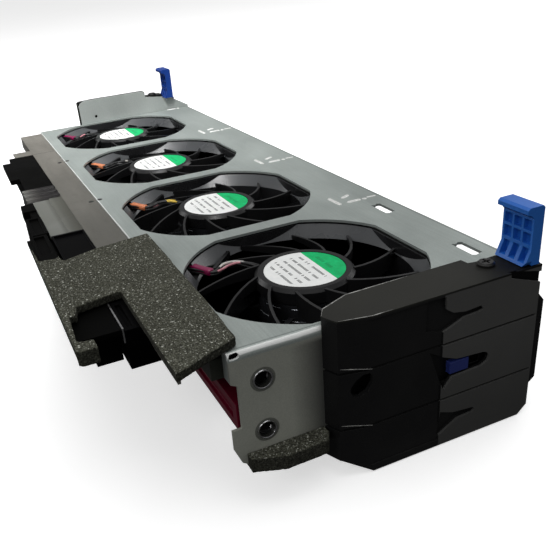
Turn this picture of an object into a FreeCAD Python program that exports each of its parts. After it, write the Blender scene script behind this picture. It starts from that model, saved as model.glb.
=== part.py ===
import FreeCAD, Part
import math
import os
from FreeCAD import Vector, Rotation, Placement

# Fan tray for a server chassis: four axial fans in a folded sheet-metal cage,
# with a moulded end cap, a fold-over release lever and a coupled latch slide
# at each end, and a cable duct along the front edge.
# Frame of the model: +X along the row of fans towards the near end cap,
# +Y towards the rear flange and the levers, +Z up (air outlet side).
# The origin is at the centre of the underside of the tray's bounding box.

doc = FreeCAD.newDocument("FanTray")
sheet = doc.addObject("Spreadsheet::Sheet", "Dims")
_row = [0]
_val = {}


def dim(alias, value):
    """One driving dimension: a cell with a plain number and an alias."""
    if alias in _val:
        raise RuntimeError("alias used twice: " + alias)
    _row[0] += 1
    r = _row[0]
    sheet.set("A%d" % r, alias)
    sheet.set("B%d" % r, repr(float(value)))
    sheet.setAlias("B%d" % r, alias)
    _val[alias] = float(value)
    return alias


def v(alias):
    return _val[alias]


# ---------------------------------------------------------------- master sizes
dim("frame_dx", 147.0)      # plate frame to tray frame, along the row
dim("frame_dy", 12.0)
dim("frame_dz", 62.0)
dim("fan_pitch", 98.0)      # centre to centre of neighbouring fans
dim("fan_side", 92.0)       # square side of one fan
dim("fan_depth", 38.0)
dim("fan_top_z", -2.0)      # top of the fan frames under the plate's top face
dim("fan_bore_rad", 44.6)
dim("fan_flare_rad", 49.3)
dim("fan_hole_pitch", 82.5)
dim("fan_hole_rad", 2.2)
dim("hub_rad", 20.5)
dim("label_rad", 16.7)
dim("label_thick", 0.3)
dim("sheet_thick", 1.2)
dim("opening_rad", 49.5)
dim("opening_half_x", 44.8)
dim("opening_half_y", 46.0)
dim("blade_tip_rad", 43.6)
dim("shaft_rad", 1.5)
dim("bearing_bore_rad", 1.53)
dim("bearing_outer_rad", 4.0)
dim("bearing_len", 4.0)
dim("stud_hole_rad", 3.1)
dim("stud_hole_pitch", 20.9)
dim("slot_len", 14.0)
dim("slot_wide", 5.0)
dim("lever_pin_rad", 1.0)
dim("lever_bore_rad", 1.05)

DX, DY, DZ = v("frame_dx"), v("frame_dy"), v("frame_dz")


def ex(e):
    """An expression for a number or an alias expression."""
    return e if isinstance(e, str) else None


def bind(obj, prop, expression):
    obj.setExpression(prop, expression)


# ------------------------------------------------------------- basic builders
def block(name, x0, x1, y0, y1, z0, z1):
    """A box given by its faces, each held in a cell."""
    for k, val in (("xa", x0), ("xb", x1), ("ya", y0), ("yb", y1), ("za", z0), ("zb", z1)):
        dim(name + "_" + k, val)
    o = doc.addObject("Part::Box", name)
    n = "Dims." + name
    bind(o, "Length", "%s_xb - %s_xa" % (n, n))
    bind(o, "Width", "%s_yb - %s_ya" % (n, n))
    bind(o, "Height", "%s_zb - %s_za" % (n, n))
    bind(o, "Placement.Base.x", "Dims.frame_dx + %s_xa" % n)
    bind(o, "Placement.Base.y", "Dims.frame_dy + %s_ya" % n)
    bind(o, "Placement.Base.z", "Dims.frame_dz + %s_za" % n)
    return o


AXROT = {"z": Rotation(), "x": Rotation(Vector(0, 1, 0), 90), "y": Rotation(Vector(1, 0, 0), -90)}


def rod(name, axis, x, y, z, rad, length, rad_alias=None):
    """A cylinder along an axis from its start point."""
    for k, val in (("px", x), ("py", y), ("pz", z), ("len", length)):
        dim(name + "_" + k, val)
    if rad_alias is None:
        rad_alias = dim(name + "_rad", rad)
    o = doc.addObject("Part::Cylinder", name)
    n = "Dims." + name
    o.Placement = Placement(Vector(0, 0, 0), AXROT[axis])
    bind(o, "Radius", "Dims." + rad_alias)
    bind(o, "Height", n + "_len")
    bind(o, "Placement.Base.x", "Dims.frame_dx + %s_px" % n)
    bind(o, "Placement.Base.y", "Dims.frame_dy + %s_py" % n)
    bind(o, "Placement.Base.z", "Dims.frame_dz + %s_pz" % n)
    return o


def outline(name, pts, rot, base, container=None):
    """A closed polygon sketch whose corners are all held in cells."""
    sk = (container or doc).addObject("Sketcher::SketchObject", name) if container is None \
        else container.newObject("Sketcher::SketchObject", name)
    n = len(pts)
    for i, (a, b) in enumerate(pts):
        dim("%s_pt%du" % (name, i), a)
        dim("%s_pt%dv" % (name, i), b)
    geo = []
    for i in range(n):
        a, b = pts[i], pts[(i + 1) % n]
        geo.append(Part.LineSegment(Vector(a[0], a[1], 0), Vector(b[0], b[1], 0)))
    import Sketcher
    sk.addGeometry(geo, False)
    cons, exps = [], []
    for i in range(n):
        cons.append(Sketcher.Constraint("Coincident", i, 2, (i + 1) % n, 1))
    for i, (a, b) in enumerate(pts):
        for kind, val, key in (("DistanceX", a, "u"), ("DistanceY", b, "v")):
            cell = "Dims.%s_pt%d%s" % (name, i, key)
            if abs(val) < 1e-9:
                cons.append(Sketcher.Constraint("PointOnObject", i, 1, -2 if key == "u" else -1))
            elif val > 0:
                exps.append((len(cons), cell))
                cons.append(Sketcher.Constraint(kind, -1, 1, i, 1, val))
            else:
                exps.append((len(cons), "-" + cell))
                cons.append(Sketcher.Constraint(kind, i, 1, -1, 1, -val))
    sk.addConstraint(cons)
    for idx, e in exps:
        sk.setExpression("Constraints[%d]" % idx, e)
    if container is None:
        sk.Placement = Placement(Vector(*base), rot)
    return sk


ROT_XY = Rotation()
ROT_YZ = Rotation(Vector(0, 1, 0), Vector(0, 0, 1), Vector(1, 0, 0), "ZXY")
ROT_XZ = Rotation(Vector(1, 0, 0), Vector(0, 0, 1), Vector(0, -1, 0), "ZXY")


def prism(name, plane, pts, a0, a1):
    """A polygon pushed along the axis normal to its plane, from a0 to a1."""
    dim(name + "_from", a0)
    dim(name + "_to", a1)
    rot = {"xy": ROT_XY, "yz": ROT_YZ, "xz": ROT_XZ}[plane]
    sk = outline(name + "_outline", pts, rot, (0, 0, 0))
    n = "Dims." + name
    off = {"x": "Dims.frame_dx", "y": "Dims.frame_dy", "z": "Dims.frame_dz"}
    start = {"xy": "z", "yz": "x", "xz": "y"}[plane]
    for ax in "xyz":
        e = off[ax]
        if ax == start:
            e += " + %s_%s" % (n, "to" if plane == "xz" else "from")
        bind(sk, "Placement.Base." + ax, e)
    o = doc.addObject("Part::Extrusion", name)
    o.Base = sk
    o.DirMode = "Custom"
    o.Dir = {"xy": Vector(0, 0, 1), "yz": Vector(1, 0, 0), "xz": Vector(0, -1, 0)}[plane]
    o.Solid = True
    bind(o, "LengthFwd", "%s_to - %s_from" % (n, n))
    return o


def cut(name, base, *tools):
    o = base
    if len(tools) == 1:
        c = doc.addObject("Part::Cut", name)
        c.Base, c.Tool = base, tools[0]
        return c
    t = doc.addObject("Part::Compound", name + "_tools")
    t.Links = list(tools)
    c = doc.addObject("Part::Cut", name)
    c.Base, c.Tool = o, t
    return c


def fuse(name, *parts):
    f = doc.addObject("Part::MultiFuse", name)
    f.Shapes = list(parts)
    f.Refine = True
    return f


def common(name, a, b):
    c = doc.addObject("Part::Common", name)
    c.Base, c.Tool = a, b
    return c


def group_of(name, *parts):
    g = doc.addObject("Part::Compound", name)
    g.Links = list(parts)
    return g


NODES = []


def node(obj, label):
    obj.Label = label
    NODES.append(obj)
    return obj


def given(name, shape):
    """A Part::Feature for a shape that is worked out from the cells here."""
    o = doc.addObject("Part::Feature", name)
    o.Shape = shape
    return o


FAN_X = [-294.0, -196.0, -98.0, 0.0]      # fan 1 is furthest from the near cap

# =================================================================== fan cage
# One folded sheet: top plate, end walls, short rear flange.
plate = block("plate", -342.5, 48.5, -54.0, 71.4, -1.2, 0.0)
near_wall = prism("near_wall", "yz",
                  [(-54.0, 0.0), (-54.0, -11.6), (-51.6, -12.8), (-51.6, -30.2), (-55.2, -30.2),
                   (-55.2, -38.5), (-52.8, -44.6), (-50.8, -46.0), (71.4, -46.0), (71.4, 0.0)], 47.3, 48.5)
far_wall = block("far_wall", -342.5, -341.3, -51.5, 71.4, -46.0, 0.0)
rear_flange = block("rear_flange", -342.5, 48.5, 70.2, 71.4, -4.0, 0.0)
return_flange = block("return_flange", 43.0, 48.5, -54.0, -52.8, -11.6, 0.0)
collar_a = rod("collar_a", "x", 46.1, -42.4, -13.0, 4.3, 1.2)
collar_b = rod("collar_b", "x", 46.1, -42.4, -33.9, 4.3, 1.2)
folded = fuse("folded_sheet", plate, near_wall, far_wall, rear_flange, return_flange,
              collar_a, collar_b)
doc.recompute()


def edges_where(obj, test):
    return [i + 1 for i, e in enumerate(obj.Shape.Edges) if test(e)]


def near(a, b, tol=0.02):
    return abs(a - b) < tol


def along(e, axis):
    bb = e.BoundBox
    d = {"x": bb.XLength, "y": bb.YLength, "z": bb.ZLength}
    return d[axis] > 0.5 and all(d[k] < 0.01 for k in d if k != axis)


dim("bend_outer_rad", 2.4)
dim("bend_inner_rad", 1.2)


def long_edge(x, z):
    return lambda e: along(e, "y") and near(e.BoundBox.XMin, x + DX) and near(e.BoundBox.ZMin, z + DZ) \
        and e.BoundBox.YLength > 60


def fillet(name, base, picks):
    f = doc.addObject("Part::Fillet", name)
    f.Base = base
    f.Edges = [(i, r, r) for i, r in picks]
    return f


picks = [(i, v("bend_outer_rad")) for x in (48.5, -342.5)
         for i in edges_where(folded, long_edge(x, 0.0))]
picks += [(i, v("bend_inner_rad")) for x in (47.3, -341.3)
          for i in edges_where(folded, long_edge(x, -1.2))]
picks += [(i, 1.4) for i in edges_where(
    folded, lambda e: along(e, "x") and near(e.BoundBox.YMin, 71.4 + DY) and near(e.BoundBox.ZMin, DZ)
    and e.BoundBox.XLength > 300)]
bent = fillet("bent_sheet", folded, picks)


def fan_openings(tag, z0, z1):
    """The four openings: a circle cut off flat at its four sides."""
    dim(tag + "_low", z0)
    dim(tag + "_high", z1)
    tools = []
    for i, x in enumerate(FAN_X):
        c = doc.addObject("Part::Cylinder", "%s_round_%d" % (tag, i + 1))
        bind(c, "Radius", "Dims.opening_rad")
        bind(c, "Height", "Dims.%s_high - Dims.%s_low" % (tag, tag))
        b = doc.addObject("Part::Box", "%s_square_%d" % (tag, i + 1))
        bind(b, "Length", "2 * Dims.opening_half_x")
        bind(b, "Width", "2 * Dims.opening_half_y")
        bind(b, "Height", "Dims.%s_high - Dims.%s_low" % (tag, tag))
        k = 3 - i
        bind(c, "Placement.Base.x", "Dims.frame_dx - %d * Dims.fan_pitch" % k)
        bind(c, "Placement.Base.y", "Dims.frame_dy")
        bind(c, "Placement.Base.z", "Dims.frame_dz + Dims.%s_low" % tag)
        bind(b, "Placement.Base.x", "Dims.frame_dx - %d * Dims.fan_pitch - Dims.opening_half_x" % k)
        bind(b, "Placement.Base.y", "Dims.frame_dy - Dims.opening_half_y")
        bind(b, "Placement.Base.z", "Dims.frame_dz + Dims.%s_low" % tag)
        tools.append(common("%s_opening_%d" % (tag, i + 1), c, b))
    return tools


top_tools = fan_openings("outlet", -3.0, 1.0)
# two latch slots along the rear edge, each with a small hook-shaped end
slot_tools = []
for i, (sx, sy) in enumerate(((-34.5, 60.8), (24.3, 61.3))):
    tag = "plate_slot_%d" % (i + 1)
    slot_tools.append(prism(tag, "xy", [
        (sx - 6.9, sy - 2.3), (sx + 6.1, sy - 2.5), (sx + 7.0, sy - 1.2), (sx + 6.0, sy + 2.5),
        (sx - 6.2, sy + 2.5), (sx - 7.0, sy + 1.0), (sx - 5.8, sy - 0.6)], -3.0, 1.0))
stud_a = rod("stud_hole_a", "x", 45.0, -42.4, -13.0, 0, 5.0, "stud_hole_rad")
stud_b = rod("stud_hole_b", "x", 45.0, -42.4, -33.9, 0, 5.0, "stud_hole_rad")
bend_relief = prism("bend_relief", "yz", [
    (-53.6, -1.2), (-53.0, -0.5), (-50.5, -0.4), (-49.8, -1.0), (-49.9, -1.9), (-50.7, -2.4),
    (-52.8, -2.6), (-53.6, -2.3)], 45.6, 49.0)
cage = cut("cage_sheet", bent, *(top_tools + slot_tools + [stud_a, stud_b, bend_relief]))
node(cage, "fan_cage")

# ================================================================ bottom tray
web = block("tray_web", -341.3, 47.3, -45.0, 70.2, -46.0, -44.8)
tray_front = block("tray_front_foot", -330.0, -60.0, -45.0, -43.8, -62.0, -44.8)
tray_rear = block("tray_rear_foot", -340.0, 46.0, 69.0, 70.2, -62.0, -44.8)
tray_back = block("tray_back_wall", -341.3, 47.3, 69.0, 70.2, -46.0, -12.0)
tray_end_n = block("tray_end_near", 46.1, 47.3, -38.0, 69.0, -46.0, -36.5)
tray_end_f = block("tray_end_far", -341.3, -340.1, -38.0, 69.0, -46.0, -36.5)
tray_all = fuse("tray_fused", web, tray_front, tray_rear, tray_back, tray_end_n, tray_end_f)
tray = cut("tray_sheet", tray_all, *fan_openings("inlet", -47.0, -43.0))
node(tray, "bottom_tray")

# ================================================================= side ledge
ledge_top = block("ledge_top", -336.0, 42.8, -70.0, -54.2, -1.6, -0.4)
ledge_lap = block("ledge_lap", -336.0, 42.8, -56.0, -46.6, -2.4, -1.2)
ledge_lip = block("ledge_lip", -336.0, 42.8, -70.0, -68.8, -9.0, -0.4)
ledge_ear = block("ledge_ear", -285.0, -270.2, -82.0, -69.0, -1.6, -0.4)
node(fuse("ledge_sheet", ledge_top, ledge_lap, ledge_lip, ledge_ear), "side_ledge")

# =============================================================== far bracket
bracket = prism("bracket_plate", "yz", [
    (-20.0, -46.0), (71.3, -46.0), (71.3, 1.2), (57.6, 9.2), (56.0, 9.8), (50.0, 9.8), (50.0, 11.0), (35.5, 12.8),
    (34.5, 17.8), (-14.6, 17.8), (-18.6, 16.2), (-20.0, 14.0)], -343.7, -342.5)
bracket_hole = rod("bracket_hole", "x", -345.0, -7.5, 4.3, 1.1, 4.0)
node(cut("bracket_sheet", bracket, bracket_hole), "far_bracket")

# ================================================================ cable duct
duct_floor = block("duct_floor", -272.0, -12.0, -86.0, -70.0, -16.0, -14.0)
duct_inner = block("duct_inner_wall", -272.0, -12.0, -72.0, -70.0, -16.0, -2.4)
duct_outer = block("duct_outer_wall", -272.0, -12.0, -86.0, -84.0, -16.0, -2.4)
duct_end_f = block("duct_end_far", -272.0, -270.0, -86.0, -70.0, -16.0, -2.4)
duct_shelf = block("duct_shelf", -99.0, -12.0, -97.4, -86.0, -2.0, 0.0)
duct_rib = block("duct_shelf_rib", -99.0, -12.0, -87.4, -86.0, -7.0, -2.0)
duct_lip = block("duct_near_shelf", -12.0, 12.6, -97.4, -79.6, -2.0, 0.0)
duct_arm = block("duct_foam_arm", 10.0, 24.0, -97.4, -95.2, -2.0, 0.0)
duct_foot = block("duct_foam_foot", 20.6, 24.0, -97.4, -90.6, -2.0, 0.0)
duct_box = block("duct_near_box", -10.4, 6.0, -89.6, -79.6, -16.0, -1.0)
duct_box_in = block("duct_near_box_void", -9.0, 4.6, -88.2, -81.0, -17.0, -2.4)
duct_tongue = cut("duct_near_end", duct_box, duct_box_in)
duct_bay = block("duct_bay_cut", -103.0, -57.8, -95.6, -86.0, -3.0, 1.0)
duct_fused = fuse("duct_fused", duct_floor, duct_inner, duct_outer, duct_end_f,
                  duct_shelf, duct_rib, duct_lip, duct_arm, duct_foot, duct_tongue)
node(cut("duct_channel", duct_fused, duct_bay), "duct_base")

cover_a = block("cover_far_plate", -270.0, -185.0, -86.4, -70.0, -2.4, 0.0)
cover_a_tab = block("cover_far_tab", -258.0, -213.0, -92.0, -84.0, -3.0, 0.0)
cover_a_cut = block("cover_far_tab_seat", -272.0, -180.0, -86.0, -84.0, -4.0, -2.4)
node(cut("cover_far", fuse("cover_far_fused", cover_a, cover_a_tab), cover_a_cut), "duct_cover_far")

panel = block("panel_plate", -160.0, -98.4, -86.0, -70.0, -2.4, 0.0)
panel_step = block("panel_step", -161.0, -98.0, -87.0, -77.0, -0.5, 0.5)
node(cut("panel_sheet", panel, panel_step), "duct_panel")

cover_c = block("cover_near_plate", -98.4, -12.0, -86.0, -70.0, -2.4, 0.0)
cover_c_cut = block("cover_near_dish", -96.5, -66.0, -85.0, -71.0, -0.9, 1.0)
node(cut("cover_near", cover_c, cover_c_cut), "duct_cover_near")

strap_base = block("strap_plate", -185.0, -160.0, -86.0, -70.0, -2.4, -0.2)
strap_out = block("strap_outer", -185.0, -160.0, -89.0, -86.0, -9.0, -0.2)
strap_r1 = block("strap_rib_a", -182.5, -179.0, -89.0, -70.0, -0.8, 0.9)
strap_r2 = block("strap_rib_b", -174.5, -170.5, -89.0, -70.0, -0.8, 0.9)
strap_r3 = block("strap_rib_c", -166.0, -162.0, -89.0, -70.0, -0.8, 0.9)
node(fuse("strap_fused", strap_base, strap_out, strap_r1, strap_r2, strap_r3), "harness_strap")

# connector bodies clipped on the outside of the duct
conn_e = fuse("conn_lug_fused", block("conn_lug", -159.0, -146.0, -93.0, -86.0, -8.0, -0.6),
              block("conn_lug_b", -147.0, -133.5, -90.0, -86.0, -9.0, -1.6))
conn_b1 = cut("conn_mid_cut", block("conn_mid", -132.0, -104.0, -94.0, -86.0, -12.0, 0.0),
              block("conn_mid_well", -130.0, -106.0, -92.4, -87.6, -1.2, 1.0))
conn_b2 = cut("conn_near_cut", block("conn_near", -103.0, -58.0, -95.5, -87.4, -6.0, 0.0),
              block("conn_near_well", -101.0, -76.0, -94.0, -89.0, -1.2, 1.0))
node(group_of("conn_group", conn_e, conn_b1, conn_b2), "side_connectors")

# board connector in the notch of the foam, with the edge of its metal shell
bay_body = fuse("bay_fused", block("bay_wall", -9.8, 14.6, -79.0, -70.6, -15.8, 0.4),
                block("bay_foot", -9.8, 14.6, -72.0, -66.5, -15.8, -9.6))
bay_slot = block("bay_well", -7.0, 12.0, -77.4, -75.4, -0.8, 1.0)
node(cut("bay_cut", bay_body, bay_slot), "bay_connector")
bay_shell = block("bay_shell", -9.0, 13.6, -79.6, -79.0, -5.0, 0.8)
node(bay_shell, "bay_connector_shell")

# harness wires lying in the duct: straight runs along the channel
wires = []
for i, (yy, zz) in enumerate(((-82.0, -12.9), (-79.2, -12.9), (-76.4, -12.9), (-80.6, -10.4),
                              (-77.8, -10.4))):
    wires.append(rod("harness_wire_%d" % (i + 1), "x", -268.0 + 3.0 * (i % 3), yy, zz, 1.1,
                     248.0 - 5.0 * (i % 3)))
node(group_of("harness_group", *wires), "harness_wires")

# =================================================================== end caps
CAP_YZ = [(-19.6, 4.0), (-19.6, -54.5), (-16.7, -54.5), (-4.8, -62.0), (63.3, -62.0), (67.5, -58.2),
          (67.5, 4.0)]
CAP_XY = [(48.5, -19.6), (54.6, -17.0), (57.5, -4.8), (57.5, 67.5), (48.5, 67.5)]
CAP_YZ_IN = [(-17.6, 2.0), (-17.6, -52.5), (-16.1, -52.5), (-4.2, -60.0), (62.5, -60.0), (65.5, -57.3),
             (65.5, 2.0)]
CAP_XY_IN = [(45.0, -17.6), (52.9, -15.8), (55.5, -4.6), (55.5, 65.5), (45.0, 65.5)]
LEAF_1 = [(17.1, 2.9), (17.1, -9.5), (24.1, -11.5), (28.0, -10.1), (33.3, -7.9), (39.4, -7.6),
          (41.7, -7.1), (40.6, -5.3), (33.8, -5.7), (28.4, -4.7), (25.4, -2.6), (25.0, 2.4)]
LEAF_2 = [(19.2, -18.7), (25.5, -36.8), (29.4, -32.0), (42.7, -31.6), (45.4, -30.2), (46.1, -28.2),
          (44.9, -26.3), (42.9, -25.6), (31.0, -24.6), (25.4, -22.3)]
LEAF_3 = [(24.6, -46.3), (23.7, -57.5), (32.8, -52.3), (40.1, -51.7), (41.1, -50.7), (39.8, -49.6),
          (30.4, -48.5)]
WEDGE = [(53.2, 4.6), (53.4, 1.8), (56.4, 0.7), (69.3, -3.9), (69.3, 0.7), (60.0, 3.0)]
HOOK_HOLE = [(-12.9, -24.6), (-12.0, -26.9), (-9.4, -27.5), (-6.6, -25.8), (-5.0, -22.7), (-4.7, -20.1),
             (-6.0, -18.4), (-8.2, -18.5), (-10.8, -20.5), (-12.5, -22.8)]


def mirror_x(pts):
    """Plan points mirrored about the middle of the row."""
    return [(-294.0 - a, b) for a, b in pts]


# the panel grooves follow the cap's plan 1.1 mm inside its face
CAP_GROOVE = [(40.0, -18.5), (48.7, -18.5), (53.8, -16.2), (56.4, -4.7), (56.4, 66.9), (40.0, 66.9)]


def groove_round(name, plan, xa, xb, z0, z1):
    outer = block(name + "_outer", xa, xb, -21.0, 66.9, z0, z1)
    return cut(name, outer, prism(name + "_core", "xy", plan, z0 - 1.0, z1 + 1.0))


cap_plan = prism("ncap_plan", "xy", CAP_XY, -62.0, 4.0)
cap_side = prism("ncap_side", "yz", CAP_YZ, 47.0, 58.0)
cap_solid = common("ncap_solid", cap_plan, cap_side)
cap_plan_in = prism("ncap_plan_in", "xy", CAP_XY_IN, -61.0, 3.0)
cap_side_in = prism("ncap_side_in", "yz", CAP_YZ_IN, 44.0, 58.0)
cap_void = common("ncap_void", cap_plan_in, cap_side_in)
cap_shell = cut("ncap_shell", cap_solid, cap_void)
cap_flange = prism("ncap_flange", "xy", [
    (54.6, -17.0), (48.5, -19.6), (43.9, -16.7), (38.9, -4.6), (38.6, 46.3), (42.1, 46.6),
    (42.9, 50.1), (42.3, 58.2), (42.3, 67.5), (57.5, 67.5), (57.5, -4.8)], 0.0, 4.0)
cap_wing = prism("ncap_wing", "yz", [(66.0, -11.0), (71.5, -11.0), (74.0, -14.0), (74.0, -49.0),
                                     (71.8, -51.0), (66.0, -51.0)], 50.5, 54.0)
rib_lo = block("ncap_rib_low", 50.0, 56.5, 10.0, 58.0, -35.5, -34.3)
rib_hi = block("ncap_rib_high", 50.0, 56.5, 10.0, 58.0, -21.7, -20.5)
cap_fused = fuse("ncap_fused", cap_shell, cap_flange, cap_wing, rib_lo, rib_hi)
cap_cuts = [
    block("ncap_gloss_step", 57.0, 58.0, -30.0, 24.2, -59.0, 2.6),
    groove_round("ncap_groove_up", CAP_GROOVE, 46.0, 60.0, -17.3, -16.3),
    groove_round("ncap_groove_low", CAP_GROOVE, 46.0, 60.0, -41.3, -40.3),
    prism("ncap_leaf_1", "yz", LEAF_1, 55.9, 58.0),
    prism("ncap_leaf_2", "yz", LEAF_2, 55.0, 58.0),
    prism("ncap_leaf_3", "yz", LEAF_3, 55.9, 58.0),
    prism("ncap_wedge", "yz", WEDGE, 56.5, 58.0),
    prism("ncap_hook_hole", "yz", HOOK_HOLE, 53.0, 58.0),
    block("ncap_hinge_gap", 49.9, 55.9, 62.9, 68.0, -3.5, 5.0),
    rod("ncap_pin_hole", "x", 49.0, 66.8 - 0.0, 2.0, 0, 8.2, "lever_pin_rad"),
    rod("ncap_screw_hole", "z", 47.1, 50.7, 0.6, 1.5, 4.0),
]
near_cap = cut("ncap_body", cap_fused, *cap_cuts)
node(near_cap, "near_cap")

# far cap: the mirrored moulding behind the far bracket, raised at its top
FCAP_YZ = [(-21.4, 17.0), (-21.4, -54.5), (-16.7, -54.5), (-4.8, -62.0), (67.5, -62.0), (67.5, -4.0),
           (59.0, -4.0), (59.0, 10.0), (50.0, 10.0), (50.0, 17.0)]
FCAP_YZ_IN = [(-19.4, 15.0), (-19.4, -52.5), (-16.1, -52.5), (-4.2, -60.0), (65.5, -60.0), (65.5, -6.0),
              (57.0, -6.0), (57.0, 3.0), (48.0, 3.0), (48.0, 9.0), (33.5, 9.0), (33.5, 15.0)]
FCAP_XY = [(-343.7, -21.4), (-348.6, -19.4), (-351.5, -7.8), (-351.5, 67.5), (-343.7, 67.5)]
FCAP_XY_IN = [(-342.0, -19.4), (-346.9, -17.8), (-349.5, -7.6), (-349.5, 65.5), (-342.0, 65.5)]
fcap_solid = common("fcap_solid", prism("fcap_plan", "xy", FCAP_XY, -62.0, 17.0),
                    prism("fcap_side", "yz", FCAP_YZ, -352.0, -343.0))
fcap_void = common("fcap_void", prism("fcap_plan_in", "xy", FCAP_XY_IN, -61.0, 16.0),
                   prism("fcap_side_in", "yz", FCAP_YZ_IN, -352.0, -340.0))
fcap_shell = cut("fcap_shell", fcap_solid, fcap_void)
fcap_wing = prism("fcap_wing", "yz", [(66.0, -11.0), (71.5, -11.0), (74.0, -14.0), (74.0, -49.0),
                                      (71.8, -51.0), (66.0, -51.0)], -348.0, -344.5)
frib_lo = block("fcap_rib_low", -350.5, -344.0, 10.0, 58.0, -35.5, -34.3)
frib_hi = block("fcap_rib_high", -350.5, -344.0, 10.0, 58.0, -21.7, -20.5)
fcap_fused = fuse("fcap_fused", fcap_shell, fcap_wing, frib_lo, frib_hi)
fcap_cuts = [
    block("fcap_groove_up", -352.0, -350.9, -3.5, 67.0, -17.2, -16.5),
    block("fcap_groove_low", -352.0, -350.9, -3.5, 67.0, -41.2, -40.5),
    prism("fcap_leaf_1", "yz", LEAF_1, -352.0, -349.9),
    prism("fcap_leaf_2", "yz", LEAF_2, -352.0, -349.0),
    prism("fcap_leaf_3", "yz", LEAF_3, -352.0, -349.9),
    prism("fcap_hook_hole", "yz", HOOK_HOLE, -352.0, -347.0),
    block("fcap_hinge_gap", -349.9, -343.6, 54.4, 60.0, 2.5, 11.0),
    rod("fcap_pin_hole", "x", -351.2, 58.3, 8.0, 0, 8.2, "lever_pin_rad"),
    rod("fcap_screw_hole", "z", -346.6, 42.5, 9.6, 1.5, 4.0),
    block("fcap_screw_notch", -352.5, -343.0, 35.5, 51.0, 13.0, 18.0),
]
node(cut("fcap_body", fcap_fused, *fcap_cuts), "far_cap")

# ================================================================ blue levers
LEVER_YZ = [(59.0, 4.4), (66.0, 4.4), (66.0, 26.2), (65.2, 27.0), (59.4, 27.0), (58.4, 26.2),
            (58.4, 24.6), (60.4, 23.8), (61.5, 22.4), (61.5, 10.2)]
LEVER_WEB = [(63.5, 5.5), (63.5, 2.2), (66.8, 0.6), (66.8, 4.6), (66.0, 5.5)]


def make_lever(tag, x0, x1, kx0, kx1, dy, dz, cham_left):
    yz = [(a + dy, b + dz) for a, b in LEVER_YZ]
    body = prism(tag + "_slab", "yz", yz, x0, x1)
    web = prism(tag + "_web", "yz", [(a + dy, b + dz) for a, b in LEVER_WEB], kx0, kx1)
    knuckle = rod(tag + "_knuckle", "x", kx0, 66.8 + dy, 2.0 + dz, 2.2, kx1 - kx0)
    solid = fuse(tag + "_fused", body, web, knuckle)
    wide = (x1 - x0 - 4 * 0.95) / 3.0
    cells = []
    for c in range(3):
        a = x0 + 0.95 + c * (wide + 0.95)
        b = a + wide
        for r, (za, zb, yd) in enumerate(((22.9, 24.0, 62.9), (17.6, 21.6, 63.6), (12.2, 16.6, 63.6))):
            cells.append(block("%s_cell_%d_%d" % (tag, c, r), a, b, 57.0 + dy, yd + dy, za + dz, zb + dz))
        cells.append(prism("%s_foot_%d" % (tag, c), "yz",
                           [(58.0 + dy, 5.6 + dz), (63.2 + dy, 5.6 + dz), (63.2 + dy, 10.9 + dz),
                            (60.2 + dy, 10.9 + dz)], a + 0.5, b - 0.3))
    bore = rod(tag + "_bore", "x", kx0 - 1.0, 66.8 + dy, 2.0 + dz, 0, kx1 - kx0 + 2.0, "lever_bore_rad")
    # the outer lower corner is cut off on the slant
    if cham_left:
        ch = prism(tag + "_corner", "xz", [(x0 - 1.0, 3.0 + dz), (x0 + 2.2, 3.0 + dz), (x0 - 1.0, 7.6 + dz)],
                   57.0 + dy, 62.4 + dy)
    else:
        ch = prism(tag + "_corner", "xz", [(x1 + 1.0, 3.0 + dz), (x1 - 2.2, 3.0 + dz), (x1 + 1.0, 7.6 + dz)],
                   57.0 + dy, 62.4 + dy)
    return cut(tag + "_body", solid, *(cells + [bore, ch]))


node(make_lever("nlever", 42.3, 57.3, 50.2, 55.6, 0.0, 0.0, False), "near_lever")
node(make_lever("flever", -351.3, -336.3, -349.6, -344.2, -8.5, 6.0, True), "far_lever")
pins = group_of("pin_group", rod("pin_near", "x", 49.0, 66.8, 2.0, 0, 8.2, "lever_pin_rad"),
                rod("pin_far", "x", -351.2, 58.3, 8.0, 0, 7.4, "lever_pin_rad"))
node(pins, "lever_pins")

# =============================================================== latch slides
def make_latch(tag, xb0, xb1, xn0, xn1):
    bar = block(tag + "_bar", xb0, xb1, 16.0, 46.0, -34.0, -22.0)
    nub = block(tag + "_nub", xn0, xn1, 28.5, 37.0, -31.0, -26.0)
    slot = block(tag + "_window", xb0 - 1.0, xb1 + 1.0, 39.5, 43.5, -31.0, -25.0)
    return cut(tag + "_body", fuse(tag + "_fused", bar, nub), slot)


node(make_latch("nlatch", 51.0, 54.6, 54.0, 57.0), "near_latch")
node(make_latch("flatch", -348.6, -345.0, -351.0, -348.0), "far_latch")

# ================================================================= cap screws
def pan_screw(tag, x, y, z):
    head = rod(tag + "_head", "z", x, y, z, 3.3, 1.6)
    crown = doc.addObject("Part::Chamfer", tag + "_crown")
    doc.recompute()
    top = edges_where(head, lambda e: near(e.BoundBox.ZMin, z + 1.6 + DZ) and near(e.BoundBox.ZMax, z + 1.6 + DZ))
    crown.Base = head
    crown.Edges = [(top[0], 0.7, 0.7)]
    shank = rod(tag + "_shank", "z", x, y, z - 3.4, 1.5, 3.6)
    a = block(tag + "_cross_a", x - 1.9, x + 1.9, y - 0.4, y + 0.4, z + 0.5, z + 3.0)
    b = block(tag + "_cross_b", x - 0.4, x + 0.4, y - 1.9, y + 1.9, z + 0.5, z + 3.0)
    return cut(tag + "_body", fuse(tag + "_fused", crown, shank), a, b)


node(group_of("screw_group", pan_screw("screw_near", 47.1, 50.7, 4.0),
              pan_screw("screw_far", -346.6, 42.5, 13.0)), "cap_screws")

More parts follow.
